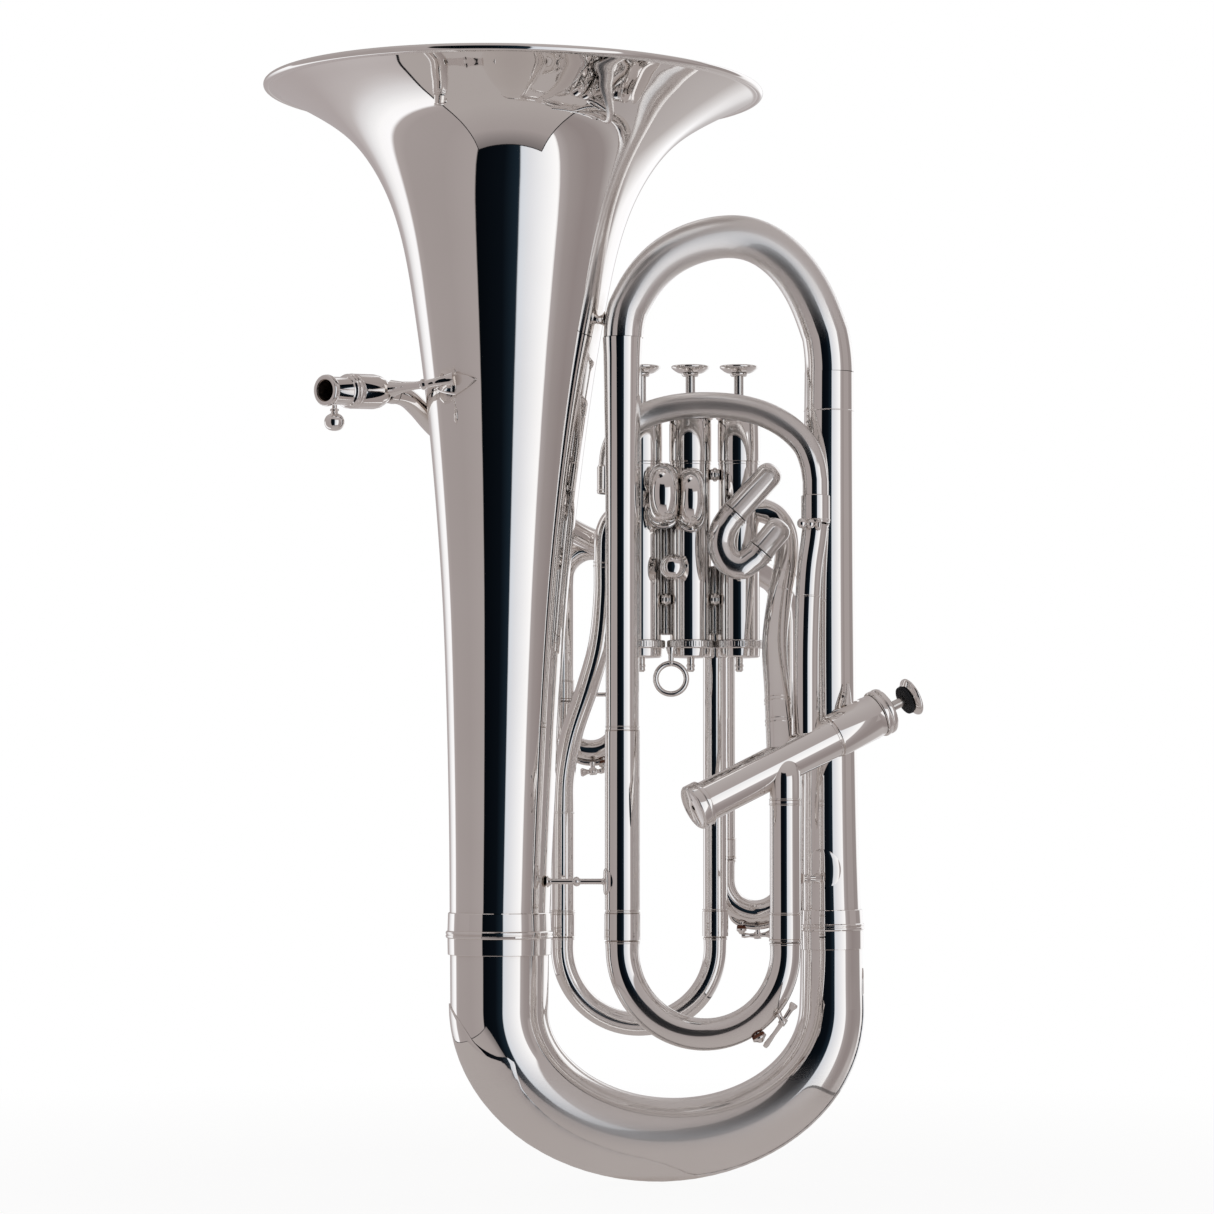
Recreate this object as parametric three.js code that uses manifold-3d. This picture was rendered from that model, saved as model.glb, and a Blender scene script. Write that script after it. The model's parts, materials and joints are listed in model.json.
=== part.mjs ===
// Three-plus-one valve compensating tenor tuba (euphonium), standing bell up.
// Units are millimetres. +Z is up, +X runs from the bell to the outer branch,
// +Y runs from the front to the back. Left is -X and right is +X.
import * as THREE from 'three';
import { mergeVertices } from 'three/addons/utils/BufferGeometryUtils.js';
import Module from 'manifold-3d';

const wasm = await Module();
wasm.setup();

// ---------- shared dimensions ----------
const GAP = 0.3;                 // running and assembly clearance
const WALL = 1.2;                // wall of the large tubes
const THIN = 0.9;                // wall of the small tubes
const ORIGIN = [-0.6, 0, 1.2];   // moves the bottom centre of the instrument to the origin

// Each leg gives the point at height z on a straight vertical tube.
const leg = (x, y) => (z) => [x, y, z];
const MAIN_LEFT_Y = -22;
const FOURTH_Y = 43;
const BACK_Y = 60;               // plane of the first and third slides
const THIRD_X = [82.2, 122];
const FIRST_X = [-17.4, 18.1];
const mainLeft = leg(19.3, MAIN_LEFT_Y);
const mainRight = leg(115.8, -50);
const fourthLeft = leg(-17.4, FOURTH_Y);
const fourthRight = leg(76.7, FOURTH_Y);
const thirdLeft = leg(THIRD_X[0], BACK_Y);
const thirdRight = leg(THIRD_X[1], BACK_Y);
const firstLeft = leg(FIRST_X[0], BACK_Y);
const firstRight = leg(FIRST_X[1], BACK_Y);

// ---------- materials ----------
const metal = (color, roughness) =>
  new THREE.MeshStandardMaterial({ color, roughness, metalness: 1 });
const silver = () => metal(0xd8d3ce, 0.14);
const steel = () => metal(0x8d8f92, 0.35);
const monel = () => metal(0xb8b4ae, 0.25);
const cork = () =>
  new THREE.MeshStandardMaterial({ color: 0x7a4a30, roughness: 0.8, metalness: 0 });

// ---------- group ----------
const part = new THREE.Group();
const body = new THREE.Group();
body.position.set(...ORIGIN);
part.add(body);

function add(name, shape, material = silver()) {
  const mesh = new THREE.Mesh(shape, material);
  mesh.name = name;
  body.add(mesh);
}

// ---------- solids ----------
const vec = (point) => (point.isVector3 ? point.clone() : new THREE.Vector3(...point));
const along = (point, direction, distance) => vec(point).addScaledVector(direction, distance);
const lerp = (from, to, t) => from + (to - from) * t;

// Welds the seams, drops collapsed triangles and turns the faces outwards.
function weld(raw) {
  raw.deleteAttribute('normal');
  raw.deleteAttribute('uv');
  const shape = mergeVertices(raw, 1e-3);
  const source = shape.index.array;
  const position = shape.attributes.position;
  const faces = [];
  for (let i = 0; i < source.length; i += 3) {
    const [a, b, c] = source.slice(i, i + 3);
    if (a !== b && b !== c && a !== c) faces.push(a, b, c);
  }
  let volume = 0;
  const corners = [0, 1, 2].map(() => new THREE.Vector3());
  for (let i = 0; i < faces.length; i += 3) {
    corners.forEach((corner, k) => corner.fromBufferAttribute(position, faces[i + k]));
    volume += corners[0].dot(corners[1].cross(corners[2]));
  }
  if (volume < 0) {
    for (let i = 0; i < faces.length; i += 3) {
      [faces[i], faces[i + 1]] = [faces[i + 1], faces[i]];
    }
  }
  shape.setIndex(faces);
  return shape;
}

function toManifold(shape) {
  return new wasm.Manifold(new wasm.Mesh({
    numProp: 3,
    vertProperties: new Float32Array(shape.attributes.position.array),
    triVerts: new Uint32Array(shape.index.array),
  }));
}
function toGeometry(manifold) {
  const mesh = manifold.getMesh();
  const shape = new THREE.BufferGeometry();
  const position = new THREE.BufferAttribute(new Float32Array(mesh.vertProperties), 3);
  shape.setAttribute('position', position);
  shape.setIndex(Array.from(mesh.triVerts));
  return shape;
}
const cut = (shape, ...tools) =>
  toGeometry(tools.reduce((rest, tool) => rest.subtract(toManifold(tool)), toManifold(shape)));
const join = (shape, ...others) =>
  toGeometry(others.reduce((sum, other) => sum.add(toManifold(other)), toManifold(shape)));

// Frames carried along a path without twist; the first side points towards startSide.
function frames(path, startSide) {
  const tangents = path.map((point, i) => {
    const sum = new THREE.Vector3();
    if (i > 0) sum.add(point.clone().sub(path[i - 1]).normalize());
    if (i < path.length - 1) sum.add(path[i + 1].clone().sub(point).normalize());
    return sum.normalize();
  });
  const first = vec(startSide);
  const sides = [first.addScaledVector(tangents[0], -first.dot(tangents[0])).normalize()];
  for (let i = 1; i < path.length; i++) {
    const turn = new THREE.Quaternion().setFromUnitVectors(tangents[i - 1], tangents[i]);
    const side = sides[i - 1].clone().applyQuaternion(turn);
    sides.push(side.addScaledVector(tangents[i], -side.dot(tangents[i])).normalize());
  }
  return { sides, normals: tangents.map((tangent, i) => tangent.clone().cross(sides[i])) };
}

// Turns a profile of [station, radius]; frameAt gives [centre, side, normal] of a station.
function lathe(profile, segments, frameAt) {
  const points = profile.map(([station, radius]) => new THREE.Vector2(radius, station));
  const shape = new THREE.LatheGeometry(points, segments);
  const position = shape.attributes.position;
  for (let k = 0; k < position.count; k++) {
    const [centre, side, normal] = frameAt(position.getY(k));
    const moved = along(centre, side, position.getX(k))
      .addScaledVector(normal, position.getZ(k));
    position.setXYZ(k, moved.x, moved.y, moved.z);
  }
  return weld(shape);
}

// Round tube along a path; wall 0 gives a solid rod. The last radius serves any further points.
function tube(points, radii, segments = 10, wall = 0, startSide = [0, 1, 0]) {
  const path = points.map(vec);
  const last = path.length - 1;
  const outside = path.map((_, i) =>
    [i, Array.isArray(radii) ? radii[Math.min(i, radii.length - 1)] : radii]);
  const inside = outside.map(([i, radius]) => [i, radius - wall]).reverse();
  const profile = wall
    ? [...outside, ...inside, outside[0]]
    : [[0, 0], ...outside, [last, 0]];
  const { sides, normals } = frames(path, startSide);
  return lathe(profile, segments, (station) => {
    const i = Math.round(station);
    return [path[i], sides[i], normals[i]];
  });
}

// Body turned about the line from start towards end; profile is [distance from start, radius].
function turned(start, end, profile, segments) {
  const from = vec(start);
  const direction = vec(end).sub(from).normalize();
  const { sides, normals } = frames([from, from.clone().add(direction)], [0, 1, 0]);
  return lathe(profile, segments, (distance) =>
    [along(from, direction, distance), sides[0], normals[0]]);
}
const hollow = (start, end, profile, segments) =>
  turned(start, end, [...profile, profile[0]], segments);
const ring = (start, end, inner, outer, length, segments) =>
  hollow(start, end, [[0, inner], [0, outer], [length, outer], [length, inner]], segments);

// Outline in x and z (before any turning), extruded towards -Y.
function plate(outline, depth) {
  const shape = new THREE.Shape(outline.map(([x, z]) => new THREE.Vector2(x, z)));
  return new THREE.ExtrudeGeometry(shape, { depth, bevelEnabled: false }).rotateX(Math.PI / 2);
}

// Half ellipse from start to end, hanging down by depth.
function crook(start, end, depth, steps) {
  const centre = vec(start).add(vec(end)).multiplyScalar(0.5);
  const half = vec(start).sub(centre);
  const path = [];
  for (let i = 0; i <= steps; i++) {
    const t = (Math.PI * i) / steps;
    const drop = new THREE.Vector3(0, 0, -depth * Math.sin(t));
    path.push(along(centre, half, Math.cos(t)).add(drop));
  }
  return path;
}

// U-shaped slide. Pairs run left to right, except shoulder: the upper and lower height of
// the step in radius. detail is both the bend's steps and the tube's segments.
function slide({ left, right, tops, shoulder, bendZ, depth, legR, shoulderR, bendR, detail }) {
  const bend = crook(left(bendZ), right(bendZ), depth, detail);
  const [upper, lower] = shoulder;
  const path = [
    left(tops[0]), left(upper), left(lower), ...bend,
    right(lower), right(upper), right(tops[1]),
  ];
  const radii = [
    legR[0], legR[0], shoulderR[0], ...bend.map((_, i) => lerp(...bendR, i / detail)),
    shoulderR[1], legR[1], legR[1],
  ];
  return tube(path, radii, detail, THIN);
}

// ---------- bell ----------
const BELL_RIM = [-47.1, 0, 662.9];
const BELL_FOOT = [-55, 0, 147.8];
const BELL_R = 152.3;            // lip radius
const LIP_DEPTH = 20;            // the wall is thicker above this depth
const LIP_EXTRA = 0.8;
// [depth below the rim, outside radius]
const BELL_PROFILE = [
  [2.6, 149.6], [8, 138.5], [14.6, 125.8], [25.9, 106.9], [41.3, 90.5],
  [54.4, 82], [66.8, 75.6], [91.4, 67.1], [128, 59.5], [176.8, 51.6],
  [237.5, 44.7], [310, 38], [383, 34.1], [456, 31.4], [514.6, 30.1],
];
// [depth below the rim, radius] of the cutter that fits braces to the bell
const BELL_CLEARANCE = [
  [120, 61.5], [176.8, 51.9], [237.5, 45.1], [310, 38.4], [383, 34.5], [456, 31.8], [514, 30.5],
];
{
  const lip = [[0, BELL_R - 2.6], [0, BELL_R - 0.2], [1.3, BELL_R], [2.6, BELL_R - 0.4]];
  const inside = BELL_PROFILE.map(([depth, radius]) =>
    [depth, radius - WALL - (depth < LIP_DEPTH ? LIP_EXTRA : 0)]).reverse();
  const profile = [...lip, ...BELL_PROFILE.slice(1), ...inside];
  add('bell', hollow(BELL_RIM, BELL_FOOT, profile, 24));
}
function bellClear(stations = BELL_CLEARANCE) {
  const profile = [[stations[0][0], 0], ...stations, [stations.at(-1)[0], 0]];
  return turned(BELL_RIM, BELL_FOOT, profile, 28);
}

// ---------- bottom bow, ferrules and guard ----------
const BOW = { x: 45.2, z: 103.4, halfWidth: 100.3, depth: 79, steps: 16 };
// Outline of the guard: its upper edge, then a loop outside the bow, in x and z
const GUARD_OUTLINE = [
  [-91.5, 107.1], [-82.3, 107.1], [-77.5, 102.2], [-72.6, 91.3], [-68.4, 76.1], [-64.7, 59.7],
  [-55.0, 46.3], [-36.8, 31.7], [-18.6, 20.8], [5.7, 11.7], [36.1, 6.2], [66.5, 3.8],
  [93.8, 12.3], [121.2, 30.5], [140.6, 54.8], [152.8, 82.2], [158.8, 106.5], [161.9, 121.6],
  [164.3, 127.7], [172.8, 130.8], [191.0, 48.8], [115.1, -30.2], [-42.9, -30.2], [-103.6, 36.6],
];
const bowPath = [[-55, 0, 147.5]];
for (let i = 0; i <= BOW.steps; i++) {
  const t = Math.PI * (1 - i / BOW.steps);
  bowPath.push([BOW.x + BOW.halfWidth * Math.cos(t), 0, BOW.z - BOW.depth * Math.sin(t)]);
}
bowPath.push([145.8, 0, 149.9]);
// The bow tapers in two halves from the bell to the outer branch.
const bowRadii = bowPath.map((_, i) => {
  if (i === 0) return 30;
  return i < 9 ? lerp(29.8, 24.3, (i - 1) / 8) : lerp(24.3, 18.4, Math.min(1, (i - 9) / 8));
});
add('bottom_bow', tube(bowPath, bowRadii, 16, WALL));
add('bell_ferrule', ring([-55, 0, 135.3], [-55, 0, 160.7], 31.2, 32.4, 25.4, 20));
add('outer_branch_ferrule', ring([145.7, 0, 138.7], [145.4, 0, 162.4], 18.9, 19.9, 23.7, 16));
{
  // plate wrapped round the outside of the bottom bow
  const grown = (extra) => toManifold(tube(bowPath, bowRadii.map((r) => r + extra), 16));
  const outline = toManifold(weld(plate(GUARD_OUTLINE, 90).translate(0, 45, 0)));
  add('bow_guard', toGeometry(grown(1.3).subtract(grown(GAP)).intersect(outline)));
}

// ---------- branches and top bow ----------
const OUTER_BRANCH = [[145.6, 0, 150.5], [144.6, 0, 291.8], [145.2, 0, 485.8]];
add('outer_branch', tube(OUTER_BRANCH, [18.2, 16.2, 14.9], 12, WALL));
{
  // two quarter ellipses, easing forward from the outer branch to the inner one
  const right = { x: 84.1, z: 488.6, halfWidth: 61.2, height: 84.4, radii: [14.9, 13] };
  const left = { x: 83.5, z: 507.4, halfWidth: 63.6, height: 63, radii: [13, 12] };
  const path = [];
  const radii = [];
  for (let i = 0; i <= 12; i++) {
    const quarter = i <= 6 ? right : left;
    const t = (Math.PI / 2) * (i / 6);
    const u = i / 12;
    path.push([
      quarter.x + quarter.halfWidth * Math.cos(t),
      MAIN_LEFT_Y * u * u * (3 - 2 * u),
      quarter.z + quarter.height * Math.sin(t),
    ]);
    radii.push(lerp(...quarter.radii, i <= 6 ? i / 6 : (i - 6) / 6));
  }
  add('top_bow', tube(path, radii, 12, WALL));
}
{
  const path = [505, 495, 302, 272.3, 271.8, 144.8].map(mainLeft);
  add('inner_branch', tube(path, [11.9, 11.4, 10.1, 10.1, 10.7, 10.7], 10, THIN));
}

// ---------- fourth valve dimensions ----------
const V4_FOOT = [60.5, -63, 223.7];   // oblique valve, bottom cap end
const V4_HEAD = [178.4, -18.5, 283.1];
const V4_R = 12.15;
const V4_R_HEAD = 13.1;               // casing radius towards the head
const V4_BORE = 10.3;
const V4_CAP = 8.3;                   // length of each cap with its gap
const V4_STEP = 100;                  // where the casing widens
const V4_LENGTH = vec(V4_HEAD).distanceTo(vec(V4_FOOT));
const v4Direction = vec(V4_HEAD).sub(vec(V4_FOOT)).normalize();
const v4At = (distance) => along(V4_FOOT, v4Direction, distance);
const v4Clear = (radius = V4_R + GAP) => tube([v4At(-30), v4At(V4_LENGTH + 30)], radius, 16);

// ---------- main tuning slide ----------
add('main_slide', slide({
  left: mainLeft, right: mainRight, tops: [205, 205], shoulder: [144.3, 144], bendZ: 139.4,
  depth: 50.2, legR: [9.35, 7.9], shoulderR: [10.2, 9.2], bendR: [10, 9], detail: 10,
}));
{
  const path = [
    ...[144.8, 227, 228, 238].map(mainRight), [115.8, -48.5, 245], [115.8, -44, 250],
  ];
  const receiver = tube(path, [9.1, 9.1, 9.3, 9.3, 9, 8.6], 10, THIN);
  add('main_slide_receiver', cut(receiver, v4Clear()));
}

// ---------- valve parts shared by all four ----------
const STEM_R = 3;
const CAP_HOLE_R = 3.4;
const SPRING = { radius: 7.6, wire: 0.8, stepsPerTurn: 5 };
const pistonProfile = (low, high, radius, stemEnd) =>
  [[low, 0], [low, radius], [high, radius], [high, STEM_R], [stemEnd, STEM_R], [stemEnd, 0]];
const buttonProfile = (under, radius) => [
  [under, 0], [under, radius - 3.6], [under + 2.6, radius - 0.4],
  [under + 4.4, radius], [under + 4.4, radius - 1.8], [under + 3.2, 0],
];
// Coil spring; pointAt places two offsets across the axis and a rise along it.
function spring(steps, rise, startSide, pointAt) {
  const path = [];
  for (let i = 0; i <= steps; i++) {
    const t = (2 * Math.PI * i) / SPRING.stepsPerTurn;
    const { radius } = SPRING;
    path.push(pointAt(radius * Math.cos(t), radius * Math.sin(t), (i * rise) / steps));
  }
  return tube(path, SPRING.wire, 4, 0, startSide);
}

// ---------- fourth valve ----------
{
  const top = V4_LENGTH - V4_CAP;
  const button = V4_LENGTH + 14.5;
  const turn = (profile, segments) => turned(V4_FOOT, V4_HEAD, profile, segments);
  const turnHollow = (profile, segments) => hollow(V4_FOOT, V4_HEAD, profile, segments);
  add('valve4_casing', turnHollow([
    [V4_CAP, V4_R], [V4_STEP, V4_R], [V4_STEP + 0.4, V4_R_HEAD], [top, V4_R_HEAD],
    [top, V4_BORE], [V4_CAP, V4_BORE],
  ], 16));
  add('valve4_bottom_cap', turnHollow([
    [0, 1.6], [0, 12.8], [1, 13.7], [V4_CAP - GAP, 13.7], [V4_CAP - GAP, 1.6],
  ], 14));
  add('valve4_top_cap', turnHollow([
    [top + GAP, CAP_HOLE_R], [top + GAP, 14.2], [V4_LENGTH - 1.5, 14.2],
    [V4_LENGTH, 12.6], [V4_LENGTH, CAP_HOLE_R],
  ], 14));
  add('valve4_piston', turn(pistonProfile(34, top - 3, 10, button - GAP), 12), monel());
  add('valve4_button', turn(buttonProfile(button, 11.8), 12));
  const across = new THREE.Vector3(0, 1, 0).cross(v4Direction).normalize();
  const upright = v4Direction.clone().cross(across);
  const coil = spring(15, 9, [0.3, 0.2, 1], (u, v, rise) =>
    v4At(10 + rise).addScaledVector(across, u).addScaledVector(upright, v));
  add('valve4_spring', coil, steel());
}

// ---------- valves 1 to 3 ----------
const VALVE_X = [31.1, 61.2, 90.9];
const VALVE_Y = 21;
const CASING_R = 12.5;           // outside, below the wider head
const CASING_R_HEAD = 12.9;
const BORE_R = 10.6;
const PISTON_R = 10.3;
const CAP_FOOT = 307;            // underside of the nub on the bottom cap
const CAP_LOW = 315.5;           // underside of the bottom cap itself
const CASING_LOW = 326.3;
const CASING_STEP = 435;
const CASING_TOP = 461.2;
const CAP_TOP = 471;
const BUTTON_UNDER = 490.2;
const BUTTON_R = 11.6;

function valve(name, x) {
  const axis = leg(x, VALVE_Y);
  const turn = (profile, segments) => turned(axis(0), axis(1), profile, segments);
  const turnHollow = (profile, segments) => hollow(axis(0), axis(1), profile, segments);
  add(`${name}_casing`, turnHollow([
    [CASING_LOW, BORE_R], [CASING_LOW, CASING_R], [CASING_STEP, CASING_R],
    [CASING_STEP + 0.4, CASING_R_HEAD], [CASING_TOP, CASING_R_HEAD], [CASING_TOP, BORE_R],
  ], 16));
  add(`${name}_bottom_cap`, turn([
    [CAP_FOOT, 0], [CAP_FOOT, 2.1], [CAP_LOW, 2.1], [CAP_LOW, 12.4], [321.7, 12.8],
    [321.7, 14.2], [CASING_LOW - GAP, 14.2], [CASING_LOW - GAP, 0],
  ], 14));
  add(`${name}_top_cap`, turnHollow([
    [CASING_TOP + GAP, CAP_HOLE_R], [CASING_TOP + GAP, 13.9], [CAP_TOP - 2, 13.9],
    [CAP_TOP, 11.5], [CAP_TOP, CAP_HOLE_R],
  ], 14));
  const port = (z, y) =>
    tube([[x - 20, VALVE_Y + y, z], [x + 20, VALVE_Y + y, z + 6]], 5, 8);
  const piston = turn(pistonProfile(362.2, 457, PISTON_R, BUTTON_UNDER - GAP), 12);
  add(`${name}_piston`, cut(piston, port(385, 2), port(410, -2)), monel());
  add(`${name}_button`, turn(buttonProfile(BUTTON_UNDER, BUTTON_R), 12));
  const coil = spring(18, 32, [0, 0, 1], (u, v, rise) => [x + u, VALVE_Y + v, 328 + rise]);
  add(`${name}_spring`, coil, steel());
}
VALVE_X.forEach((x, i) => valve(`valve${i + 1}`, x));

// Cutter that fits tubes to the casing of valve 1, 2 or 3
function valveClear(number) {
  const axis = leg(VALVE_X[number - 1], VALVE_Y);
  return tube([axis(290), axis(460)], CASING_R + GAP + 0.2, 16);
}

// ---------- crossover arch, return tube, third to fourth valve tube ----------
const ARCH_PATH = [
  [12.6, -1.5, 414.4], [12.6, -1.5, 430.7], [12.6, -1.5, 431.4], [13.9, -1.5, 440.5],
  [17.9, -1.5, 449.6], [24.6, -1.5, 456.9], [33.1, -1.8, 462], [49.4, -4.5, 466.6],
  [71.1, -10.5, 467.7], [92.7, -16, 465], [108.8, -20, 459.4], [121.1, -22, 451.4],
  [129.7, -24, 441.6], [133.9, -25, 430.7], [135.5, -26, 420.4], [135.5, -26, 412],
  [135.5, -26, 411.4], [135.4, -26.5, 395.7],
];
const RETURN_PATH = [
  [135.3, -26.6, 394.4], [133.8, -27, 384.2], [130.7, -29, 366.1],
  [129.3, -32, 327], [129.2, -35, 290.9], [129.1, -37, 262.1],
];
const VALVE3_TO_4_PATH = [
  [94.5, 21, 407.4], [105, 21, 406.2], [114.1, 20, 401.2], [119.5, 17, 391.9],
  [119.9, 12, 376.3], [114.6, 2, 352.6], [111, -12, 324.1], [112, -30, 291], [112.7, -42, 257.3],
];
{
  // wider over two points at each end
  const radii = ARCH_PATH.map((_, i) => (i < 2 || i > ARCH_PATH.length - 3 ? 8.8 : 7.8));
  add('crossover_arch', tube(ARCH_PATH, radii, 10, THIN));
  const back = tube(RETURN_PATH, [7.8, 7.8, 7.6, 7.4], 10, THIN);
  add('crossover_return', cut(back, v4Clear(V4_R_HEAD + GAP)));
  const link = tube(VALVE3_TO_4_PATH, 7.4, 10, THIN);
  add('valve3_to_valve4_tube', cut(link, valveClear(3), v4Clear()));
}

// ---------- fourth slide and its return ----------
const FOURTH_RETURN_PATH = [
  fourthLeft(144.8), fourthLeft(221), [-16.6, 43, 243.4], [-11.6, 42, 268.1],
  [-1.1, 37, 298.8], [5.7, 31, 324.5], [8.8, 25, 353.7], [8.8, 22, 378.1],
  [9.4, 21, 392.7], [13.7, 21, 401.3], [25.3, 21, 405],
];
const FOURTH_SLEEVE_PATH = [
  fourthRight(144.8), fourthRight(330), [78, 41, 342], [82, 35, 352], [88, 26, 358],
];
add('fourth_return_tube', cut(tube(FOURTH_RETURN_PATH, [8, 8, 7.1], 10, THIN), valveClear(1)));
add('fourth_sleeve_right', cut(tube(FOURTH_SLEEVE_PATH, 8, 10, THIN), valveClear(3)));
add('fourth_slide', slide({
  left: fourthLeft, right: fourthRight, tops: [200, 200], shoulder: [144.3, 144], bendZ: 138,
  depth: 47.05, legR: [6.8, 6.8], shoulderR: [7.3, 7.3], bendR: [7.1, 7.1], detail: 10,
}));

// ---------- third and first slides, at the back ----------
// Two sleeves running up to one valve, joined by a cross brace
function sleeves(paths, radius, valveNumber, braceEnds, braceR) {
  const [left, right] = paths.map((path) =>
    cut(tube(path, radius, 8, THIN), valveClear(valveNumber)));
  return join(left, right, tube(braceEnds, braceR, 8));
}
const THIRD_SLEEVES = [
  [thirdLeft(192), thirdLeft(355), [83, 56, 368], [86, 46, 377], [89, 34, 381]],
  [
    thirdRight(192), thirdRight(340), [120, 57, 353], [113, 48, 364], [103, 36, 370],
    [96, 28, 371],
  ],
];
const THIRD_BRACE = [[THIRD_X[0] + 7.7, BACK_Y, 240], [THIRD_X[1] - 7.7, BACK_Y, 240]];
const FIRST_SLEEVES = [
  [
    firstLeft(290), firstLeft(362), [-16.5, 60.3, 371], [-12, 60.8, 379], [-4, 61, 384],
    [6, 60.5, 384], [15, 58.5, 379], [22, 53, 371], [27.5, 43, 364.5], [31, 32, 362],
  ],
  [firstRight(290), firstRight(312), [19, 57, 324], [22, 49, 334], [27, 34, 339]],
];
const FIRST_BRACE = [[FIRST_X[0] + 6.6, BACK_Y, 294], [FIRST_X[1] - 6.6, BACK_Y, 294]];
add('third_slide_sleeves', sleeves(THIRD_SLEEVES, 8.2, 3, THIRD_BRACE, 2));
add('third_slide', slide({
  left: thirdLeft, right: thirdRight, tops: [235, 235], shoulder: [191.6, 191.3], bendZ: 179,
  depth: 19.9, legR: [6.9, 6.9], shoulderR: [7.6, 7.6], bendR: [7.4, 7.4], detail: 8,
}));
add('first_slide_sleeves', sleeves(FIRST_SLEEVES, 7.2, 1, FIRST_BRACE, 1.8));
add('first_slide', slide({
  left: firstLeft, right: firstRight, tops: [325, 309], shoulder: [289.6, 289.3], bendZ: 277,
  depth: 17.7, legR: [5.9, 5.9], shoulderR: [6.5, 6.5], bendR: [6.4, 6.4], detail: 8,
}));

// ---------- short slides on the front of the valves ----------
// Solid U lying forward; half is half the distance between its legs.
function frontCrook({ x, z, radius, half, rootY, tipY }) {
  const path = [[x, rootY, z + half]];
  for (let i = 0; i <= 6; i++) {
    const t = Math.PI * (i / 6);
    path.push([x, tipY + half - half * Math.sin(t), z + half * Math.cos(t)]);
  }
  path.push([x, rootY, z - half]);
  return tube(path, radius, 10, 0, [1, 0, 0]);
}
add('first_compensating_slide', cut(
  frontCrook({ x: 44.3, z: 413.4, radius: 8.9, half: 10.2, rootY: 2, tipY: -21 }),
  valveClear(1), valveClear(2),
));
add('second_slide', cut(
  frontCrook({ x: VALVE_X[1], z: 411.2, radius: 7.7, half: 11.3, rootY: 4, tipY: -17 }),
  valveClear(2),
));
{
  // elbow with a slide in each mouth; ends are distances beyond the slide's tip
  const upper = {
    mouth: [87.6, -5, 402.6], tip: [108.2, -5, 425], ends: [4.2, 7],
    direction: vec([0.672, 0, 0.741]),
  };
  const lower = {
    mouth: [103.1, -5, 379.7], tip: [113.7, -5, 392.9], ends: [3.4, 5.6],
    direction: vec([0.64, 0, 0.768]),
  };
  const elbow = [
    upper.mouth, along(upper.mouth, upper.direction, -4), [80.9, -5, 392.9],
    [79.4, -5, 382.6], [83.4, -5, 374.1], [90.6, -5, 370.4],
    along(lower.mouth, lower.direction, -5), lower.mouth,
  ];
  const elbowRadii = [8.8, 8.8, 8.4, 8.4, 8.4, 8.4, 8.8, 8.8];
  add('third_compensating_elbow', tube(elbow, elbowRadii, 10));
  const endedSlide = ({ mouth, tip, ends, direction }) => {
    const path = [
      along(mouth, direction, GAP), tip, ...ends.map((end) => along(tip, direction, end)),
    ];
    return tube(path, [8.4, 8.2, 6.9, 3.4], 10);
  };
  add('third_compensating_slide_upper', endedSlide(upper));
  add('third_compensating_slide_lower', endedSlide(lower));
}

// ---------- leadpipe and mouthpiece receiver ----------
const RECEIVER_MOUTH = [-157.9, -58, 471.9];
const RECEIVER_REAR = [-123.4, -16, 474.9];
// [distance from the mouth, radius], outside then bore
const RECEIVER_PROFILE = [
  [0, 6.9], [0, 9], [2, 9.3], [12, 8.2], [20, 8.2], [20.5, 9.9], [26, 9.9], [27, 10.6],
  [46, 10.6], [54, 5.9], [54, 4.6], [44, 4.6], [30, 5.4],
];
const LEADPIPE_PATH = [
  [-123.1, -15.6, 474.9], [-113, -2, 473.5], [-106, 12, 468.5], [-96, 33, 459],
  [-79, 49, 446], [-58, 56, 430], [-36, 56, 413], [-16, 52, 398], [2, 45, 388],
  [17, 38, 384], [30, 27, 382],
];
const LEADPIPE_RADII = [5.6, 5.8, 6, 6.4, 6.8, 7.1, 7.4, 7.6];
// [distance below the top, radius]
const SCREW_PROFILE = [[0.4, 0], [0.4, 1.8], [4, 1.8], [5, 5], [9.5, 6.6], [14, 4.6], [15.6, 0]];
add('mouthpiece_receiver', hollow(RECEIVER_MOUTH, RECEIVER_REAR, RECEIVER_PROFILE, 14));
add('leadpipe', cut(tube(LEADPIPE_PATH, LEADPIPE_RADII, 10, THIN), valveClear(1)));
add('receiver_screw', turned([-152.4, -51, 463], [-152.4, -51, 448], SCREW_PROFILE, 10));
{
  // bar from the bell to the receiver with a diamond foot on the bell
  const diamond = [[-15, 0], [-4, 6.5], [4, 6.5], [15, 0], [4, -6.5], [-4, -6.5]];
  const foot = weld(plate(diamond, 3).rotateZ(-0.62).translate(-83, -42.5, 480));
  const barPath = [
    [-84, -43.2, 480], [-99, -40, 477.5], [-112, -33.5, 476.5], [-120.5, -27.5, 476],
  ];
  const bar = tube(barPath, [3.4, 2.6, 2.6, 3.6], 8);
  const receiverClear = tube([RECEIVER_MOUTH, [-119, -10.6, 475.3]], 10.95, 14);
  const bellNearby = bellClear(BELL_CLEARANCE.slice(0, 3));
  add('receiver_brace', cut(join(foot, bar), bellNearby, receiverClear));
}

// ---------- strap ring ----------
{
  // ring left open at the top; halfGap is in radians
  const { x, y, z, radius, wire, halfGap } =
    { x: 49, y: 8, z: 302.3, radius: 9.3, wire: 1.7, halfGap: 0.14 };
  const path = [];
  for (let i = 0; i <= 16; i++) {
    const t = Math.PI / 2 + halfGap + ((2 * Math.PI - 2 * halfGap) * i) / 16;
    path.push([x + radius * Math.cos(t), y, z + radius * Math.sin(t)]);
  }
  add('strap_ring', tube(path, wire, 8));
}

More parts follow.
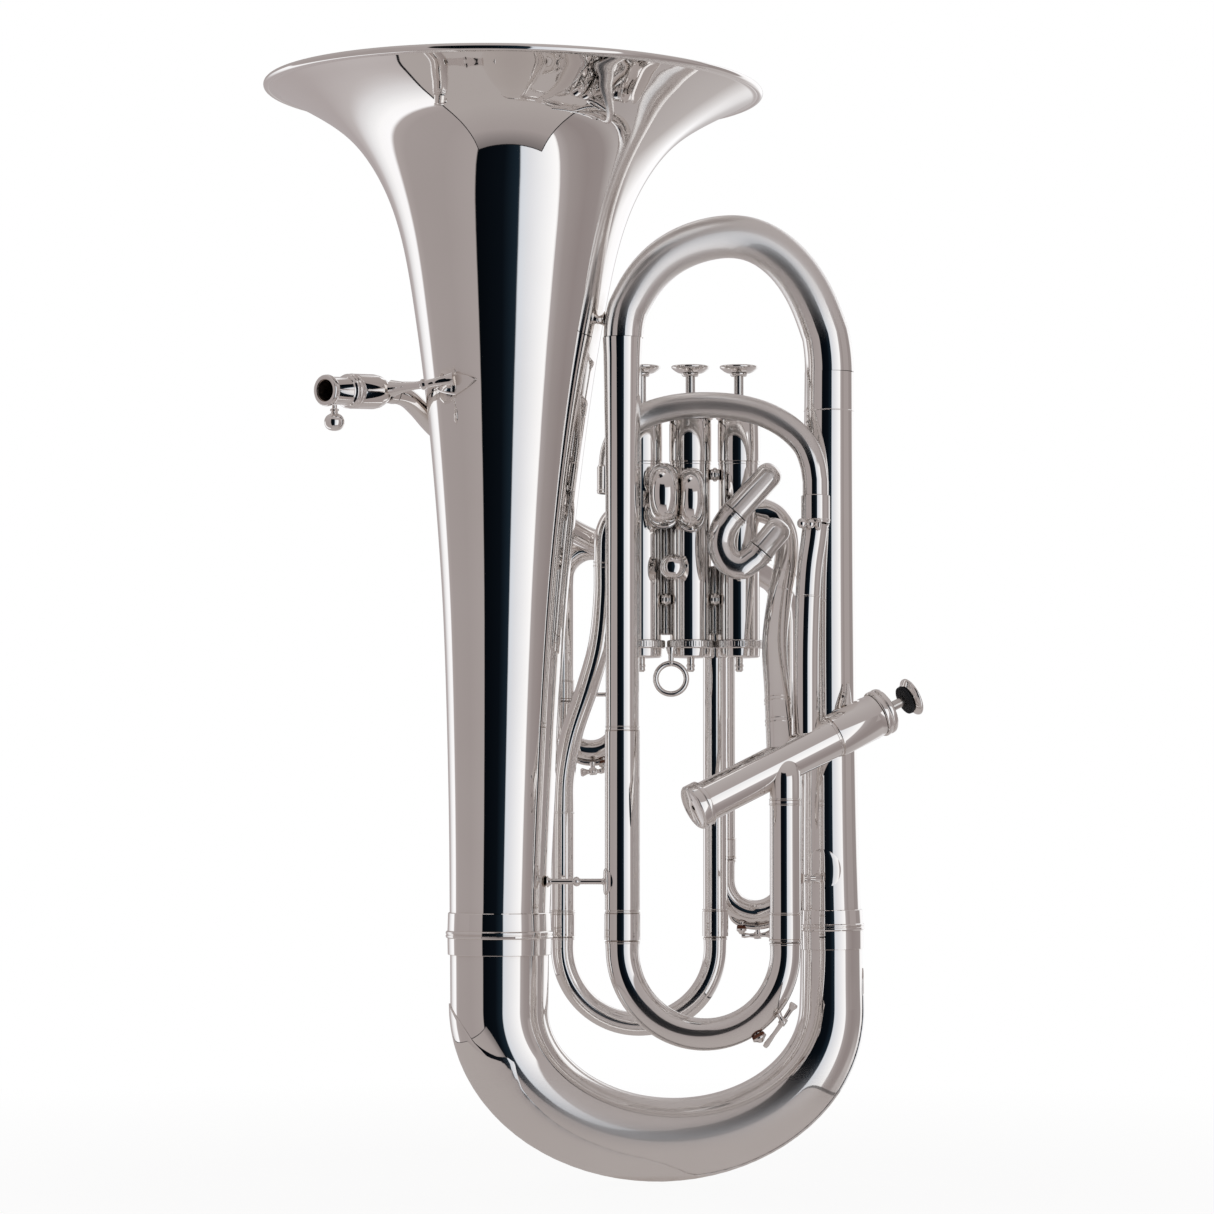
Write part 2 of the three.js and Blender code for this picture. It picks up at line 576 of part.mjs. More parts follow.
// ---------- braces between the bell and the inner branch ----------
{
  const branchPath = [535, 506.8, 495, 302, 272.3, 271.8, 120].map(mainLeft);
  const branchClear = tube(branchPath, [13, 12.6, 11.9, 10.6, 10.6, 11.2, 11.2], 10);
  const brace = (path, radii) => cut(tube(path, radii, 8), bellClear(), branchClear);
  const lowerPath = [
    [-30.5, -13, 179], [-25.6, -14, 179.7], [-25, -14, 179.7],
    [7.6, -21, 179.8], [7.8, -21, 179.8], [10, -21.5, 179.8],
  ];
  const upperPath = [[-11.1, -16, 518.3], [5.8, -18, 518.7], [13, -19, 518.6]];
  add('lower_brace', brace(lowerPath, [6, 6, 2, 2, 5, 5]));
  add('upper_brace', brace(upperPath, [4, 2.6, 4.5]));
}

// ---------- water keys ----------
// Lever, thickened at the pad, the pivot and the thumb end
function lever(pad, pivot, thumb) {
  const radius = 1.5;
  const middle = (from, to) => vec(from).lerp(vec(to), 0.5);
  const path = [pad, middle(pad, pivot), pivot, middle(pivot, thumb), thumb];
  return tube(path, [1.4, 1, 1.5, 1, 1.7].map((factor) => radius * factor), 6);
}
add('main_water_key', lever([103.6, -46, 82.5], [114.1, -52, 97.8], [119.5, -52, 107.9]));
add('main_water_key_cork', tube([[100.4, -45.5, 88.1], [101.7, -45.5, 85.9]], 3.2, 8), cork());
add('third_water_key', lever([93.4, 60, 146.4], [103.3, 60, 145.2], [112.6, 60, 145.8]));
add('first_water_key', lever([8.1, 60, 247.8], [1.9, 60, 246.6], [-6.8, 60, 247.2]));

export default part;
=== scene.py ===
"""A silver-plated four-valve compensating brass horn, standing on its bottom bow with the bell up.

The pieces are drawn in millimetres: x to the right, y away from the camera, z up. mesh_object
shifts them by OFFSET and turns them into metres. The bell is on the left, three upright valves
stand in the middle, and the fourth valve leans across the front at the right.
"""

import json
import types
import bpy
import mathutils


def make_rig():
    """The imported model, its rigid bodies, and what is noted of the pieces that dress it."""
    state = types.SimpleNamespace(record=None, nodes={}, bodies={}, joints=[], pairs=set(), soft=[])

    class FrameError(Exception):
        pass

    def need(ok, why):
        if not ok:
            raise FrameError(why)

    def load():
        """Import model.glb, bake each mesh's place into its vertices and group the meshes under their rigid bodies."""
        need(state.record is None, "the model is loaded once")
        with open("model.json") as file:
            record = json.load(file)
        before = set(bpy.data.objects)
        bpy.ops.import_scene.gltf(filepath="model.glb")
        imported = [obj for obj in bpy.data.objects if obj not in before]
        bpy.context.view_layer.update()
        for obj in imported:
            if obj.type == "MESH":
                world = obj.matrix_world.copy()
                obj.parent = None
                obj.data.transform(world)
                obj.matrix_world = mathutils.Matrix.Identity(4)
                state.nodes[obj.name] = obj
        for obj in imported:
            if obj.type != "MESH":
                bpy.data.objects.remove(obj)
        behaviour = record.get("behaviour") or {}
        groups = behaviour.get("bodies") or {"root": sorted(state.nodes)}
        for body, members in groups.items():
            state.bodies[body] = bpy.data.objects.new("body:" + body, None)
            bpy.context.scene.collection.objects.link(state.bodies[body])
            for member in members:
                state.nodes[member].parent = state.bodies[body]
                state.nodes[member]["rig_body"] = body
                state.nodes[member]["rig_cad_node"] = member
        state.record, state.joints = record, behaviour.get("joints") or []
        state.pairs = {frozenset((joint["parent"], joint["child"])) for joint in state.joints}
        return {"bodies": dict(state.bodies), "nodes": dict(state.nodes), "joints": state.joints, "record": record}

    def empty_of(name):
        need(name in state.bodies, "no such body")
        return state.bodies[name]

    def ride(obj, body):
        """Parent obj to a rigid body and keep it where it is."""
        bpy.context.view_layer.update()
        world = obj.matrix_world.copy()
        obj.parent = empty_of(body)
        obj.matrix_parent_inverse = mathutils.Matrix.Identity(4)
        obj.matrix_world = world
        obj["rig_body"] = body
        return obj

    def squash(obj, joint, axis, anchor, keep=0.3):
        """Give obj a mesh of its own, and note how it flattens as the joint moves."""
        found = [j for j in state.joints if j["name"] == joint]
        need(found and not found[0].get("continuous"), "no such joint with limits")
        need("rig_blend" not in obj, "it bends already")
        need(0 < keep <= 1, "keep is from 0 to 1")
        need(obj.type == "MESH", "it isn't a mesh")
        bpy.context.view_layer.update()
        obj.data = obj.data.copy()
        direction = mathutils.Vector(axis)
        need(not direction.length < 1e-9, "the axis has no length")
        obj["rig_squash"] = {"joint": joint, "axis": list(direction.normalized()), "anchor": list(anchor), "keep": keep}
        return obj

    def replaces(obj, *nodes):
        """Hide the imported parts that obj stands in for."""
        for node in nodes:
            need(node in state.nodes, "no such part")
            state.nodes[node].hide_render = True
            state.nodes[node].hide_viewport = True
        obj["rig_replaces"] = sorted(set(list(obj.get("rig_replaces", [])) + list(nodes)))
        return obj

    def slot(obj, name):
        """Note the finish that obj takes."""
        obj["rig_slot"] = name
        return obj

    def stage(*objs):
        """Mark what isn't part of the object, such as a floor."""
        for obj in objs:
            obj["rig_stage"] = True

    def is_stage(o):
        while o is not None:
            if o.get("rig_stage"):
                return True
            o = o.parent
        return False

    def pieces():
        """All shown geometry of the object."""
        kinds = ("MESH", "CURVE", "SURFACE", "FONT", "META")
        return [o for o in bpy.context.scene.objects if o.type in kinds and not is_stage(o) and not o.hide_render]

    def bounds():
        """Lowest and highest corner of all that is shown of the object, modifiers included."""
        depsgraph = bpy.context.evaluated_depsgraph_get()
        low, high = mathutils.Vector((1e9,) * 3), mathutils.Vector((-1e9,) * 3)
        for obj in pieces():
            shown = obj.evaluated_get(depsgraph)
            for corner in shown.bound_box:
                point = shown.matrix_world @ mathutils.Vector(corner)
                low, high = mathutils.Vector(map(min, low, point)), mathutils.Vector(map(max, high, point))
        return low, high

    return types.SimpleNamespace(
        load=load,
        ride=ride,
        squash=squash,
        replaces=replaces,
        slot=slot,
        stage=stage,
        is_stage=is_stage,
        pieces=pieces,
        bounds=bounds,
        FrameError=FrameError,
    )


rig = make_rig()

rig.load()

import json
import math
from math import cos, pi, radians, sin

import bpy
import numpy as np
from numpy.linalg import norm

MM = 0.001
OFFSET = np.array([-0.6, 0.0, 1.2])     # from the drawing to the CAD frame, mm
UP = np.array([0.0, 0.0, 1.0])
cad_box = [list(map(float, corner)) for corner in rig.bounds()]


# ---------------------------------------------------------------- shader nodes
def fill(tree, node, values):
    """set a node's inputs, each to a value or to a link from a socket"""
    for key, value in values.items():
        if isinstance(value, bpy.types.NodeSocket):
            tree.links.new(value, node.inputs[key])
        else:
            node.inputs[key].default_value = value


def add(tree, kind, values={}, **settings):
    node = tree.nodes.new("ShaderNode" + kind)
    for key, value in settings.items():
        setattr(node, key, value)
    fill(tree, node, values)
    return node


def calc(tree, operation, *values):
    return add(tree, "Math", dict(enumerate(values)), operation=operation).outputs[0]


def remap(tree, value, source, target=(0.0, 1.0), **settings):
    """map the source range to the target range, clamped"""
    ranges = {"From Min": source[0], "From Max": source[1],
              "To Min": target[0], "To Max": target[1]}
    return add(tree, "MapRange", {"Value": value, **ranges}, **settings).outputs[0]


def mix_colour(tree, factor, first, second):
    return add(tree, "Mix", {0: factor, 6: first, 7: second}, data_type="RGBA").outputs[2]


def ramp(tree, factor, stops):
    """stops: (position, linear rgba)"""
    node = add(tree, "ValToRGB", {0: factor})
    elements = node.color_ramp.elements
    while len(elements) < len(stops):
        elements.new(0.5)
    for element, (position, colour) in zip(elements, stops):
        element.position = position
        element.color = colour
    return node.outputs[0]


def srgb(red, green, blue):
    """linear rgba of an 8-bit sRGB colour"""
    parts = [value / 255 for value in (red, green, blue)]
    return (*(v / 12.92 if v <= 0.04045 else ((v + 0.055) / 1.055) ** 2.4 for v in parts), 1)


# ---------------------------------------------------------------- materials
def base_material(name):
    """an empty Principled material, with its object coordinates"""
    material = bpy.data.materials.new(name)
    material.use_nodes = True
    tree = material.node_tree
    tree.nodes.clear()
    output = add(tree, "OutputMaterial")
    shader = add(tree, "BsdfPrincipled")
    fill(tree, output, {0: shader.outputs[0]})
    coords = add(tree, "TexCoord").outputs["Object"]
    return material, tree, output, shader, coords


def noise(tree, coords, scale, detail, rough, stretch=None):
    if stretch:
        coords = add(tree, "Mapping", {0: coords, "Scale": stretch}).outputs[0]
    values = {"Vector": coords, "Scale": scale, "Detail": detail, "Roughness": rough}
    return add(tree, "TexNoise", values).outputs["Fac"]


TARNISH = (0.52, 0.43, 0.36, 1)


def metal(name, dark=(0.885, 0.862, 0.842, 1), light=(0.93, 0.912, 0.895, 1), rough=0.02,
          scratch=0.02, wobble=0.00004, soft=None, soft_rough=0.4, lean=0.0):
    """polished metal, tarnished in the corners.
    scratch: roughness added by fine streaks; wobble: depth of the surface waves, metres;
    soft: (height where a brushed finish starts, height where it is full, its share), metres;
    lean: how far the polished normals are tipped upwards"""
    material, tree, output, shader, coords = base_material(name)

    # colour: slow drift between two tones, with tarnish where other surfaces are close
    drift = noise(tree, coords, scale=9, detail=4, rough=0.55)
    tone = mix_colour(tree, remap(tree, drift, source=(0.3, 0.7)), dark, light)
    occlusion = add(tree, "AmbientOcclusion", {"Distance": 0.006}, samples=3).outputs["AO"]
    corners = remap(tree, occlusion, source=(0.35, 0.95), target=(0.5, 0.0))
    blotches = noise(tree, coords, scale=140, detail=5, rough=0.65)
    blotches = remap(tree, blotches, source=(0.35, 0.7), target=(0.35, 1.0))
    tarnished = calc(tree, "MULTIPLY", corners, blotches)
    colour = mix_colour(tree, tarnished, tone, TARNISH)

    # roughness: smears, streaks, and a little more on the tarnish
    smears = noise(tree, coords, scale=60, detail=6, rough=0.7)
    streaks = noise(tree, coords, scale=700, detail=3, rough=0.6, stretch=(1, 1, 0.06))
    smeared = remap(tree, smears, source=(0.3, 0.75), target=(rough * 0.6, rough * 1.5))
    streaked = remap(tree, streaks, source=(0.55, 0.8), target=(0.0, scratch))
    roughness = calc(tree, "ADD", smeared, streaked)
    roughness = calc(tree, "MULTIPLY_ADD", tarnished, 0.12, roughness)

    # relief: broad waves under the streaks
    waves = noise(tree, coords, scale=34, detail=2, rough=0.4)
    wavy = add(tree, "Bump", {"Strength": 1.0, "Distance": wobble, "Height": waves})
    bump = {"Strength": 0.25, "Distance": 0.000004, "Height": streaks, "Normal": wavy.outputs[0]}
    relief = add(tree, "Bump", bump).outputs[0]
    normal = relief
    if lean:
        tipped = add(tree, "VectorMath", {0: relief, 1: (0, 0, lean)}, operation="ADD")
        normal = add(tree, "VectorMath", {0: tipped.outputs[0]}, operation="NORMALIZE").outputs[0]
    fill(tree, shader, {"Base Color": colour, "Metallic": 1.0, "Roughness": roughness,
                        "Normal": normal})
    if soft:
        start, full, share = soft
        position = add(tree, "NewGeometry").outputs["Position"]
        height = add(tree, "SeparateXYZ", {0: position}).outputs[2]
        amount = remap(tree, height, source=(start, full), target=(0.0, share),
                       interpolation_type="SMOOTHSTEP")
        brushed = add(tree, "BsdfPrincipled", {"Base Color": colour, "Metallic": 1.0,
                                               "Roughness": soft_rough, "Normal": relief})
        both = add(tree, "MixShader", {0: amount, 1: shader.outputs[0], 2: brushed.outputs[0]})
        fill(tree, output, {0: both.outputs[0]})
    return material


def grainy(name, scale, grain_rough, stops, roughness, depth, sheen=0.0):
    """matt material with a fine grain; depth: height of the grain, metres"""
    material, tree, _, shader, coords = base_material(name)
    grain = noise(tree, coords, scale=scale, detail=6, rough=grain_rough)
    bump = add(tree, "Bump", {"Distance": depth, "Height": grain})
    fill(tree, shader, {"Base Color": ramp(tree, grain, stops), "Roughness": roughness,
                        "Sheen Weight": sheen, "Normal": bump.outputs[0]})
    return material


SILVER = metal("silver")
SILVER_TOP = metal("silver_top", soft=(0.505, 0.545, 0.85), soft_rough=0.42)
SILVER_BOW = metal("silver_bow", soft=(0.080, 0.032, 0.8), soft_rough=0.38)
SILVER_CROOK = metal("silver_crook", soft=(0.120, 0.098, 0.3), soft_rough=0.3)
SILVER_ARCH = metal("silver_arch", soft=(0.430, 0.462, 0.85), soft_rough=0.42)
SILVER_SOFT = metal("silver_soft", soft=(-1.0, -0.9, 0.3), soft_rough=0.3, lean=0.38)
SILVER_LEAN = metal("silver_lean", soft=(-1.0, -0.9, 0.25), soft_rough=0.25, lean=0.16)
SILVER_SATIN = metal("silver_satin", dark=(0.78, 0.755, 0.735, 1), light=(0.88, 0.86, 0.84, 1),
                     rough=0.16, scratch=0.06)
BORE = metal("silver_inside", dark=(0.30, 0.24, 0.20, 1), light=(0.42, 0.36, 0.31, 1),
             rough=0.3, scratch=0.1)
MONEL = metal("monel", dark=(0.66, 0.64, 0.62, 1), light=(0.74, 0.72, 0.70, 1),
              rough=0.14, scratch=0.12, wobble=0.00001)
STEEL = metal("steel", dark=(0.46, 0.46, 0.47, 1), light=(0.58, 0.58, 0.58, 1),
              rough=0.28, scratch=0.12, wobble=0.00001)
CORK = grainy("cork_pad", scale=900, grain_rough=0.7, roughness=0.85, depth=0.0003,
              stops=[(0.3, (0.06, 0.018, 0.009, 1)), (0.5, (0.18, 0.062, 0.032, 1)),
                     (0.75, (0.32, 0.13, 0.07, 1))])
FELT = grainy("felt_black", scale=1600, grain_rough=0.8, roughness=0.95, depth=0.0004, sheen=0.08,
              stops=[(0.3, (0.004, 0.005, 0.007, 1)), (0.7, (0.022, 0.024, 0.028, 1))])

# every other material belongs to the silver plate slot
SLOTS = {MONEL: "piston_monel", STEEL: "spring_steel", CORK: "cork", FELT: "felt"}


# ---------------------------------------------------------------- paths
def vec(*parts):
    return np.array(parts if len(parts) > 1 else parts[0], dtype=float)


def at(xy, z):
    return vec(*xy, z)


def unit(vector):
    return vector / norm(vector)


def curve(points, steps=8):
    """centripetal Catmull-Rom curve through the points, with so many steps to a span"""
    points = [vec(point) for point in points]
    points = [2 * points[0] - points[1]] + points + [2 * points[-1] - points[-2]]
    pyramid = (((0, 1), (1, 2), (2, 3)), ((0, 2), (1, 3)), ((1, 2),))
    path = []
    for i in range(1, len(points) - 2):
        controls = points[i - 1:i + 3]
        knots = [0.0]
        for start, end in zip(controls, controls[1:]):
            knots.append(knots[-1] + math.sqrt(norm(end - start)))
        for k in range(steps):
            t = knots[1] + (knots[2] - knots[1]) * k / steps
            level = controls
            for spans in pyramid:
                level = [((knots[high] - t) * level[j] + (t - knots[low]) * level[j + 1])
                         / (knots[high] - knots[low]) for j, (low, high) in enumerate(spans)]
            path.append(level[0])
    path.append(points[-2])
    return path


def arc_lengths(path):
    return np.concatenate([[0], np.cumsum(norm(np.diff(np.array(path), axis=0), axis=1))])


def straight(start, end, steps=2):
    start, end = vec(start), vec(end)
    return [start + (end - start) * t for t in np.linspace(0, 1, steps + 1)]


def crook(start, end, depth, steps):
    """half ellipse hanging below two points"""
    start, end = vec(start), vec(end)
    centre, half = (start + end) / 2, (start - end) / 2
    return [centre + half * cos(t) - UP * depth * sin(t) for t in np.linspace(0, pi, steps + 1)]


def chain(*parts):
    """join paths, leaving out repeated points"""
    path = []
    for part in parts:
        for point in part:
            if not path or norm(vec(point) - path[-1]) > 0.02:
                path.append(vec(point))
    return path


def u_path(left, right, bend, depth, left_top, right_top, steps):
    """down one leg, round the crook and up the other; left and right are (x, y)"""
    return chain(straight(at(left, left_top), at(left, bend)),
                 crook(at(left, bend), at(right, bend), depth, steps),
                 straight(at(right, bend), at(right, right_top)))


# ---------------------------------------------------------------- meshes
def mesh_object(name, verts, faces, body="root", mat=SILVER, replaces="", sharp=38.0):
    """replaces: the CAD nodes this mesh stands for, separated by spaces"""
    mesh = bpy.data.meshes.new(name)
    mesh.from_pydata(((np.array(verts) + OFFSET) * MM).tolist(), [], faces)
    mesh.validate()
    mesh.shade_smooth()
    mesh.set_sharp_from_angle(angle=radians(sharp))
    obj = bpy.data.objects.new(name, mesh)
    bpy.context.scene.collection.objects.link(obj)
    mesh.materials.append(mat)
    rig.ride(obj, body)
    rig.slot(obj, SLOTS.get(mat, "silver_plate"))
    if replaces:
        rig.replaces(obj, *replaces.split())
    return obj


def flipped(faces):
    return [tuple(reversed(face)) for face in faces]


def skin(rings, ends=None):
    """join the rings in order; the last meets the first unless ends gives two closing points"""
    sides, count = len(rings[0]), len(rings)
    verts = np.concatenate(rings)
    faces = []
    for i in range(count if ends is None else count - 1):
        this, following = i * sides, (i + 1) % count * sides
        for j in range(sides):
            k = (j + 1) % sides
            faces.append((this + j, this + k, following + k, following + j))
    if ends is not None:
        tip, last = len(verts), (count - 1) * sides
        verts = np.concatenate([verts, ends])
        for j in range(sides):
            k = (j + 1) % sides
            faces += [(tip, k, j), (tip + 1, last + j, last + k)]
    return verts, faces


def sheet_faces(rows, columns):
    """faces of a thin plate: an outer grid of points, then an inner one, and the rim between"""
    faces = []
    inner = rows * columns
    for i in range(rows - 1):
        for j in range(columns - 1):
            a = i * columns + j
            b = a + columns
            faces.append((a, b, b + 1, a + 1))
            faces.append((inner + a, inner + a + 1, inner + b + 1, inner + b))
        for j in (0, columns - 1):
            a = i * columns + j
            quad = (a, inner + a, inner + a + columns, a + columns)
            faces.append(quad if j == 0 else quad[::-1])
    for i in (0, rows - 1):
        for j in range(columns - 1):
            a = i * columns + j
            quad = (a, a + 1, inner + a + 1, inner + a)
            faces.append(quad if i == 0 else quad[::-1])
    return faces


def square_to(hint, axis):
    """unit vector square to the axis, as near the hint as it can be"""
    side = hint - hint.dot(axis) * axis
    if norm(side) < 0.05:
        side = vec(1, 0, 0) - axis[0] * axis
    return unit(side)


def frames(path, side):
    """tangent and two normals at each point, turning as little as possible"""
    tangents = []
    for i in range(len(path)):
        direction = np.zeros(3)
        if i > 0:
            direction += unit(path[i] - path[i - 1])
        if i < len(path) - 1:
            direction += unit(path[i + 1] - path[i])
        tangents.append(unit(direction))
    normals = [square_to(vec(side), tangents[0])]
    for tangent in tangents[1:]:
        normals.append(unit(normals[-1] - normals[-1].dot(tangent) * tangent))
    return tangents, normals, [np.cross(t, n) for t, n in zip(tangents, normals)]


def onto_cylinder(point, direction, cylinder):
    """move the point along direction to the near side of a (centre, axis, radius) cylinder"""
    centre, axis, radius = cylinder
    offset = point - centre
    offset = offset - offset.dot(axis) * axis
    across = direction - direction.dot(axis) * axis
    square, linear = across.dot(across), 2 * offset.dot(across)
    inside_root = linear * linear - 4 * square * (offset.dot(offset) - radius * radius)
    travel = (-linear - math.sqrt(max(inside_root, 0.0))) / (2 * square)
    return point + max(-200, min(200, travel)) * direction


def bead_height(s, start, end, rise, edge):
    return rise * float(np.clip((s - start) / edge, 0, 1) * np.clip((end - s) / edge, 0, 1))


def tube(name, path, radius, body="root", sides=40, wall=0.6, replaces="", beads=(), mat=SILVER,
         side=(0, 1, 0), saddle_start=None, saddle_end=None, solid=False, sharp=38.0):
    """a tube along the path.
    radius: a number, a list of (arc length, radius), or a function of arc length
    beads: (start, end, rise[, slope length]) for ferrules, rings and sleeves
    arc lengths below 0 count back from the far end, and "end" is the far end itself
    saddle_start, saddle_end: cylinder that the end of the tube is cut to sit on"""
    points = np.array(path)
    along = arc_lengths(points)
    length = along[-1]

    def place(s):
        if s == "end":
            return length
        return s if s >= 0 else length + s

    stations = set(np.round(along, 4).tolist())
    beads = [(place(start), place(end), rise, edge[0] if edge else 0.25)
             for start, end, rise, *edge in beads]
    for start, end, _, edge in beads:
        corners = (start, start + edge, end - edge, end)
        stations.update(round(s, 4) for s in corners if 0 < s < length)
    if callable(radius):
        base = radius
    else:
        table = radius if isinstance(radius, list) else [(0, radius)]
        places = [place(s) for s, _ in table]
        radii = [r for _, r in table]
        stations.update(round(min(max(s, 0), length), 4) for s in places)

        def base(s):
            return float(np.interp(s, places, radii))

    stations = sorted(stations)
    kept = [stations[0]]
    for s in stations[1:]:
        if s - kept[-1] > 0.04:
            kept.append(s)
    kept[-1] = length
    centres = np.stack([np.interp(kept, along, points[:, k]) for k in range(3)], axis=1)
    tangents, normals, binormals = frames(centres, side)
    turn = np.linspace(0, 2 * pi, sides, endpoint=False)[:, None]
    outer, inner = [], []
    for i, s in enumerate(kept):
        r = base(s) + sum(bead_height(s, *bead) for bead in beads)
        spokes = normals[i] * np.cos(turn) + binormals[i] * np.sin(turn)
        outer.append(centres[i] + r * spokes)
        inner.append(centres[i] + max(r - wall, 0.2) * spokes)
    for saddle, end, sign in ((saddle_start, 0, -1), (saddle_end, -1, 1)):
        if saddle:
            outward = sign * tangents[end]
            for rings in (outer, inner):
                # start from 30 mm back, so that the near side of the cylinder is met first
                rings[end] = np.array([onto_cylinder(v - 30 * outward, outward, saddle)
                                       for v in rings[end]])
    if solid:
        verts, faces = skin(outer, ends=[centres[0], centres[-1]])
    else:
        verts, faces = skin(outer + inner[::-1])
    return mesh_object(name, verts, flipped(faces), body, mat, replaces, sharp)


def rounded(profile, radius, steps=3):
    """round the corners of an open profile"""
    out = [profile[0]]
    for before, corner, after in zip(profile, profile[1:], profile[2:]):
        corner = vec(corner)
        back, ahead = vec(before) - corner, vec(after) - corner
        reach = min(radius, norm(back) * 0.45, norm(ahead) * 0.45)
        start, end = corner + unit(back) * reach, corner + unit(ahead) * reach
        for k in range(steps + 1):
            t = k / steps
            out.append(tuple((1 - t) ** 2 * start + 2 * t * (1 - t) * corner + t * t * end))
    out.append(profile[-1])
    return out


def turned(name, start, end, profile, body="root", sides=64, replaces="", mat=SILVER,
           sharp=38.0, fillet=0, flutes=None):
    """a turned body about the line from start towards end.
    profile: (distance from start, radius); one that starts on the axis closes at both ends on
    the axis, any other closes on itself
    flutes: (from, to, count, depth) of ridges cut along the body"""
    if fillet:
        profile = rounded(profile, fillet)
    start = vec(start)
    axis = unit(vec(end) - start)
    side = square_to(vec(0, 1, 0), axis)
    across = np.cross(axis, side)
    turn = np.linspace(0, 2 * pi, sides, endpoint=False)
    spokes = np.cos(turn)[:, None] * side + np.sin(turn)[:, None] * across
    on_axis = profile[0][1] == 0
    outline = profile[1:-1] if on_axis else profile
    rings = []
    for distance, radius in outline:
        radii = np.full(sides, float(radius))
        if flutes and flutes[0] <= distance <= flutes[1]:
            radii = radii + flutes[3] * (np.cos(turn * flutes[2]) > 0)
        rings.append(start + axis * distance + radii[:, None] * spokes)
    tips = [start + axis * profile[0][0], start + axis * profile[-1][0]]
    verts, faces = skin(rings, ends=tips if on_axis else None)
    area = sum(d0 * r1 - d1 * r0
               for (d0, r0), (d1, r1) in zip(outline, outline[1:] + outline[:1]))
    if area < 0:
        faces = flipped(faces)
    return mesh_object(name, verts, faces, body, mat, replaces, sharp)


def bulge(centre, half_length, base, height, start, stop, count):
    """profile points of a rounded swelling between two angles"""
    return [(centre - half_length * cos(t), base + height * sin(t))
            for t in np.linspace(start, stop, count)]


def dome(base, height, radius, power, start=0.0):
    """profile points of a domed end that closes on the axis"""
    return [(base + height * sin(t), radius * cos(t) ** power)
            for t in np.linspace(start, pi / 2, 18)]


# ---------------------------------------------------------------- bell
BELL_RIM, BELL_FOOT = vec(-47.11, 0, 662.93), vec(-55, 0, 147.77)
BELL_WALL = 0.9
BELL_OUTLINE = [    # distance below the rim, radius
    (4.0, 146.5), (6, 142.6), (8, 138.5), (11, 132.3), (14.6, 125.8), (20, 115.9), (25.9, 106.9),
    (33, 98.2), (41.3, 90.5), (54.4, 82), (66.8, 75.6), (79.3, 70.8), (91.4, 67.1), (103.9, 64.1),
    (116, 61.7), (128, 59.5), (140, 57.7), (152.5, 55.6), (176.8, 51.6), (213, 47.4),
    (237.5, 44.7), (262, 42.2), (286, 40.1), (310, 38), (335, 36.5), (359, 35.3), (383, 34.1),
    (408, 33.2), (432, 32.2), (456, 31.4), (480, 30.8), (514.6, 30.1)]
# rolled wire at the rim, and the lip on either side of it
WIRE_CENTRE, WIRE_RADIUS = (2.2, 150.1), 2.15
LIP_BELOW = [(3.9, 147.3), (4.15, 148.6)]
LIP_INSIDE = [(0.05, 148.9), (0.6, 147.4)]


def smooth_outline(outline, steps=6, passes=60):
    points = np.array(curve([(d, r, 0) for d, r in outline], steps))
    for _ in range(passes):
        points[1:-1] = points[1:-1] * 0.5 + (points[:-2] + points[2:]) * 0.25
    return [(float(d), float(r)) for d, r, _ in points]


bell_outer = smooth_outline(BELL_OUTLINE)


def bell_inner():
    """the outer outline moved in by the wall"""
    inner = []
    last = len(bell_outer) - 1
    for i, (distance, radius) in enumerate(bell_outer):
        before, after = bell_outer[max(i - 1, 0)], bell_outer[min(i + 1, last)]
        run, rise = unit(vec(after) - vec(before))
        inner.append((distance + rise * BELL_WALL, radius - run * BELL_WALL))
    inner = [(d, r) for d, r in inner if d > 0.9]
    inner[-1] = (bell_outer[-1][0], bell_outer[-1][1] - BELL_WALL)
    return inner


wire = [(WIRE_CENTRE[0] + WIRE_RADIUS * cos(t), WIRE_CENTRE[1] + WIRE_RADIUS * sin(t))
        for t in np.linspace(radians(-35), radians(180), 22)]
turned("bell_shell", BELL_RIM, BELL_FOOT,
       bell_outer[::-1] + LIP_BELOW + wire + LIP_INSIDE + bell_inner(),
       sides=160, replaces="bell", sharp=50)

# ---------------------------------------------------------------- bottom bow and its ferrules
BOW_CENTRE = vec(45.23, 0, 103.42)
BOW_HALF_WIDTH, BOW_DEPTH = 100.3, 79.0
BOW_LEG_STEPS, BOW_STEPS = 4, 96

bow_path = chain(
    straight((-55, 0, 147.65), BOW_CENTRE - vec(BOW_HALF_WIDTH, 0, 0), BOW_LEG_STEPS),
    [BOW_CENTRE + vec(BOW_HALF_WIDTH * cos(t), 0, -BOW_DEPTH * sin(t))
     for t in np.linspace(pi, 0, BOW_STEPS + 1)[1:]],
    straight(BOW_CENTRE + vec(BOW_HALF_WIDTH, 0, 0), (145.72, 0, 150.32), BOW_LEG_STEPS))
bow_along = arc_lengths(bow_path)


def bow_radius(s):
    return float(np.interp(s / bow_along[-1], [0, 0.12, 0.3, 0.5, 0.7, 0.9, 1],
                           [30.0, 29.6, 27.4, 24.6, 21.6, 18.9, 18.3]))


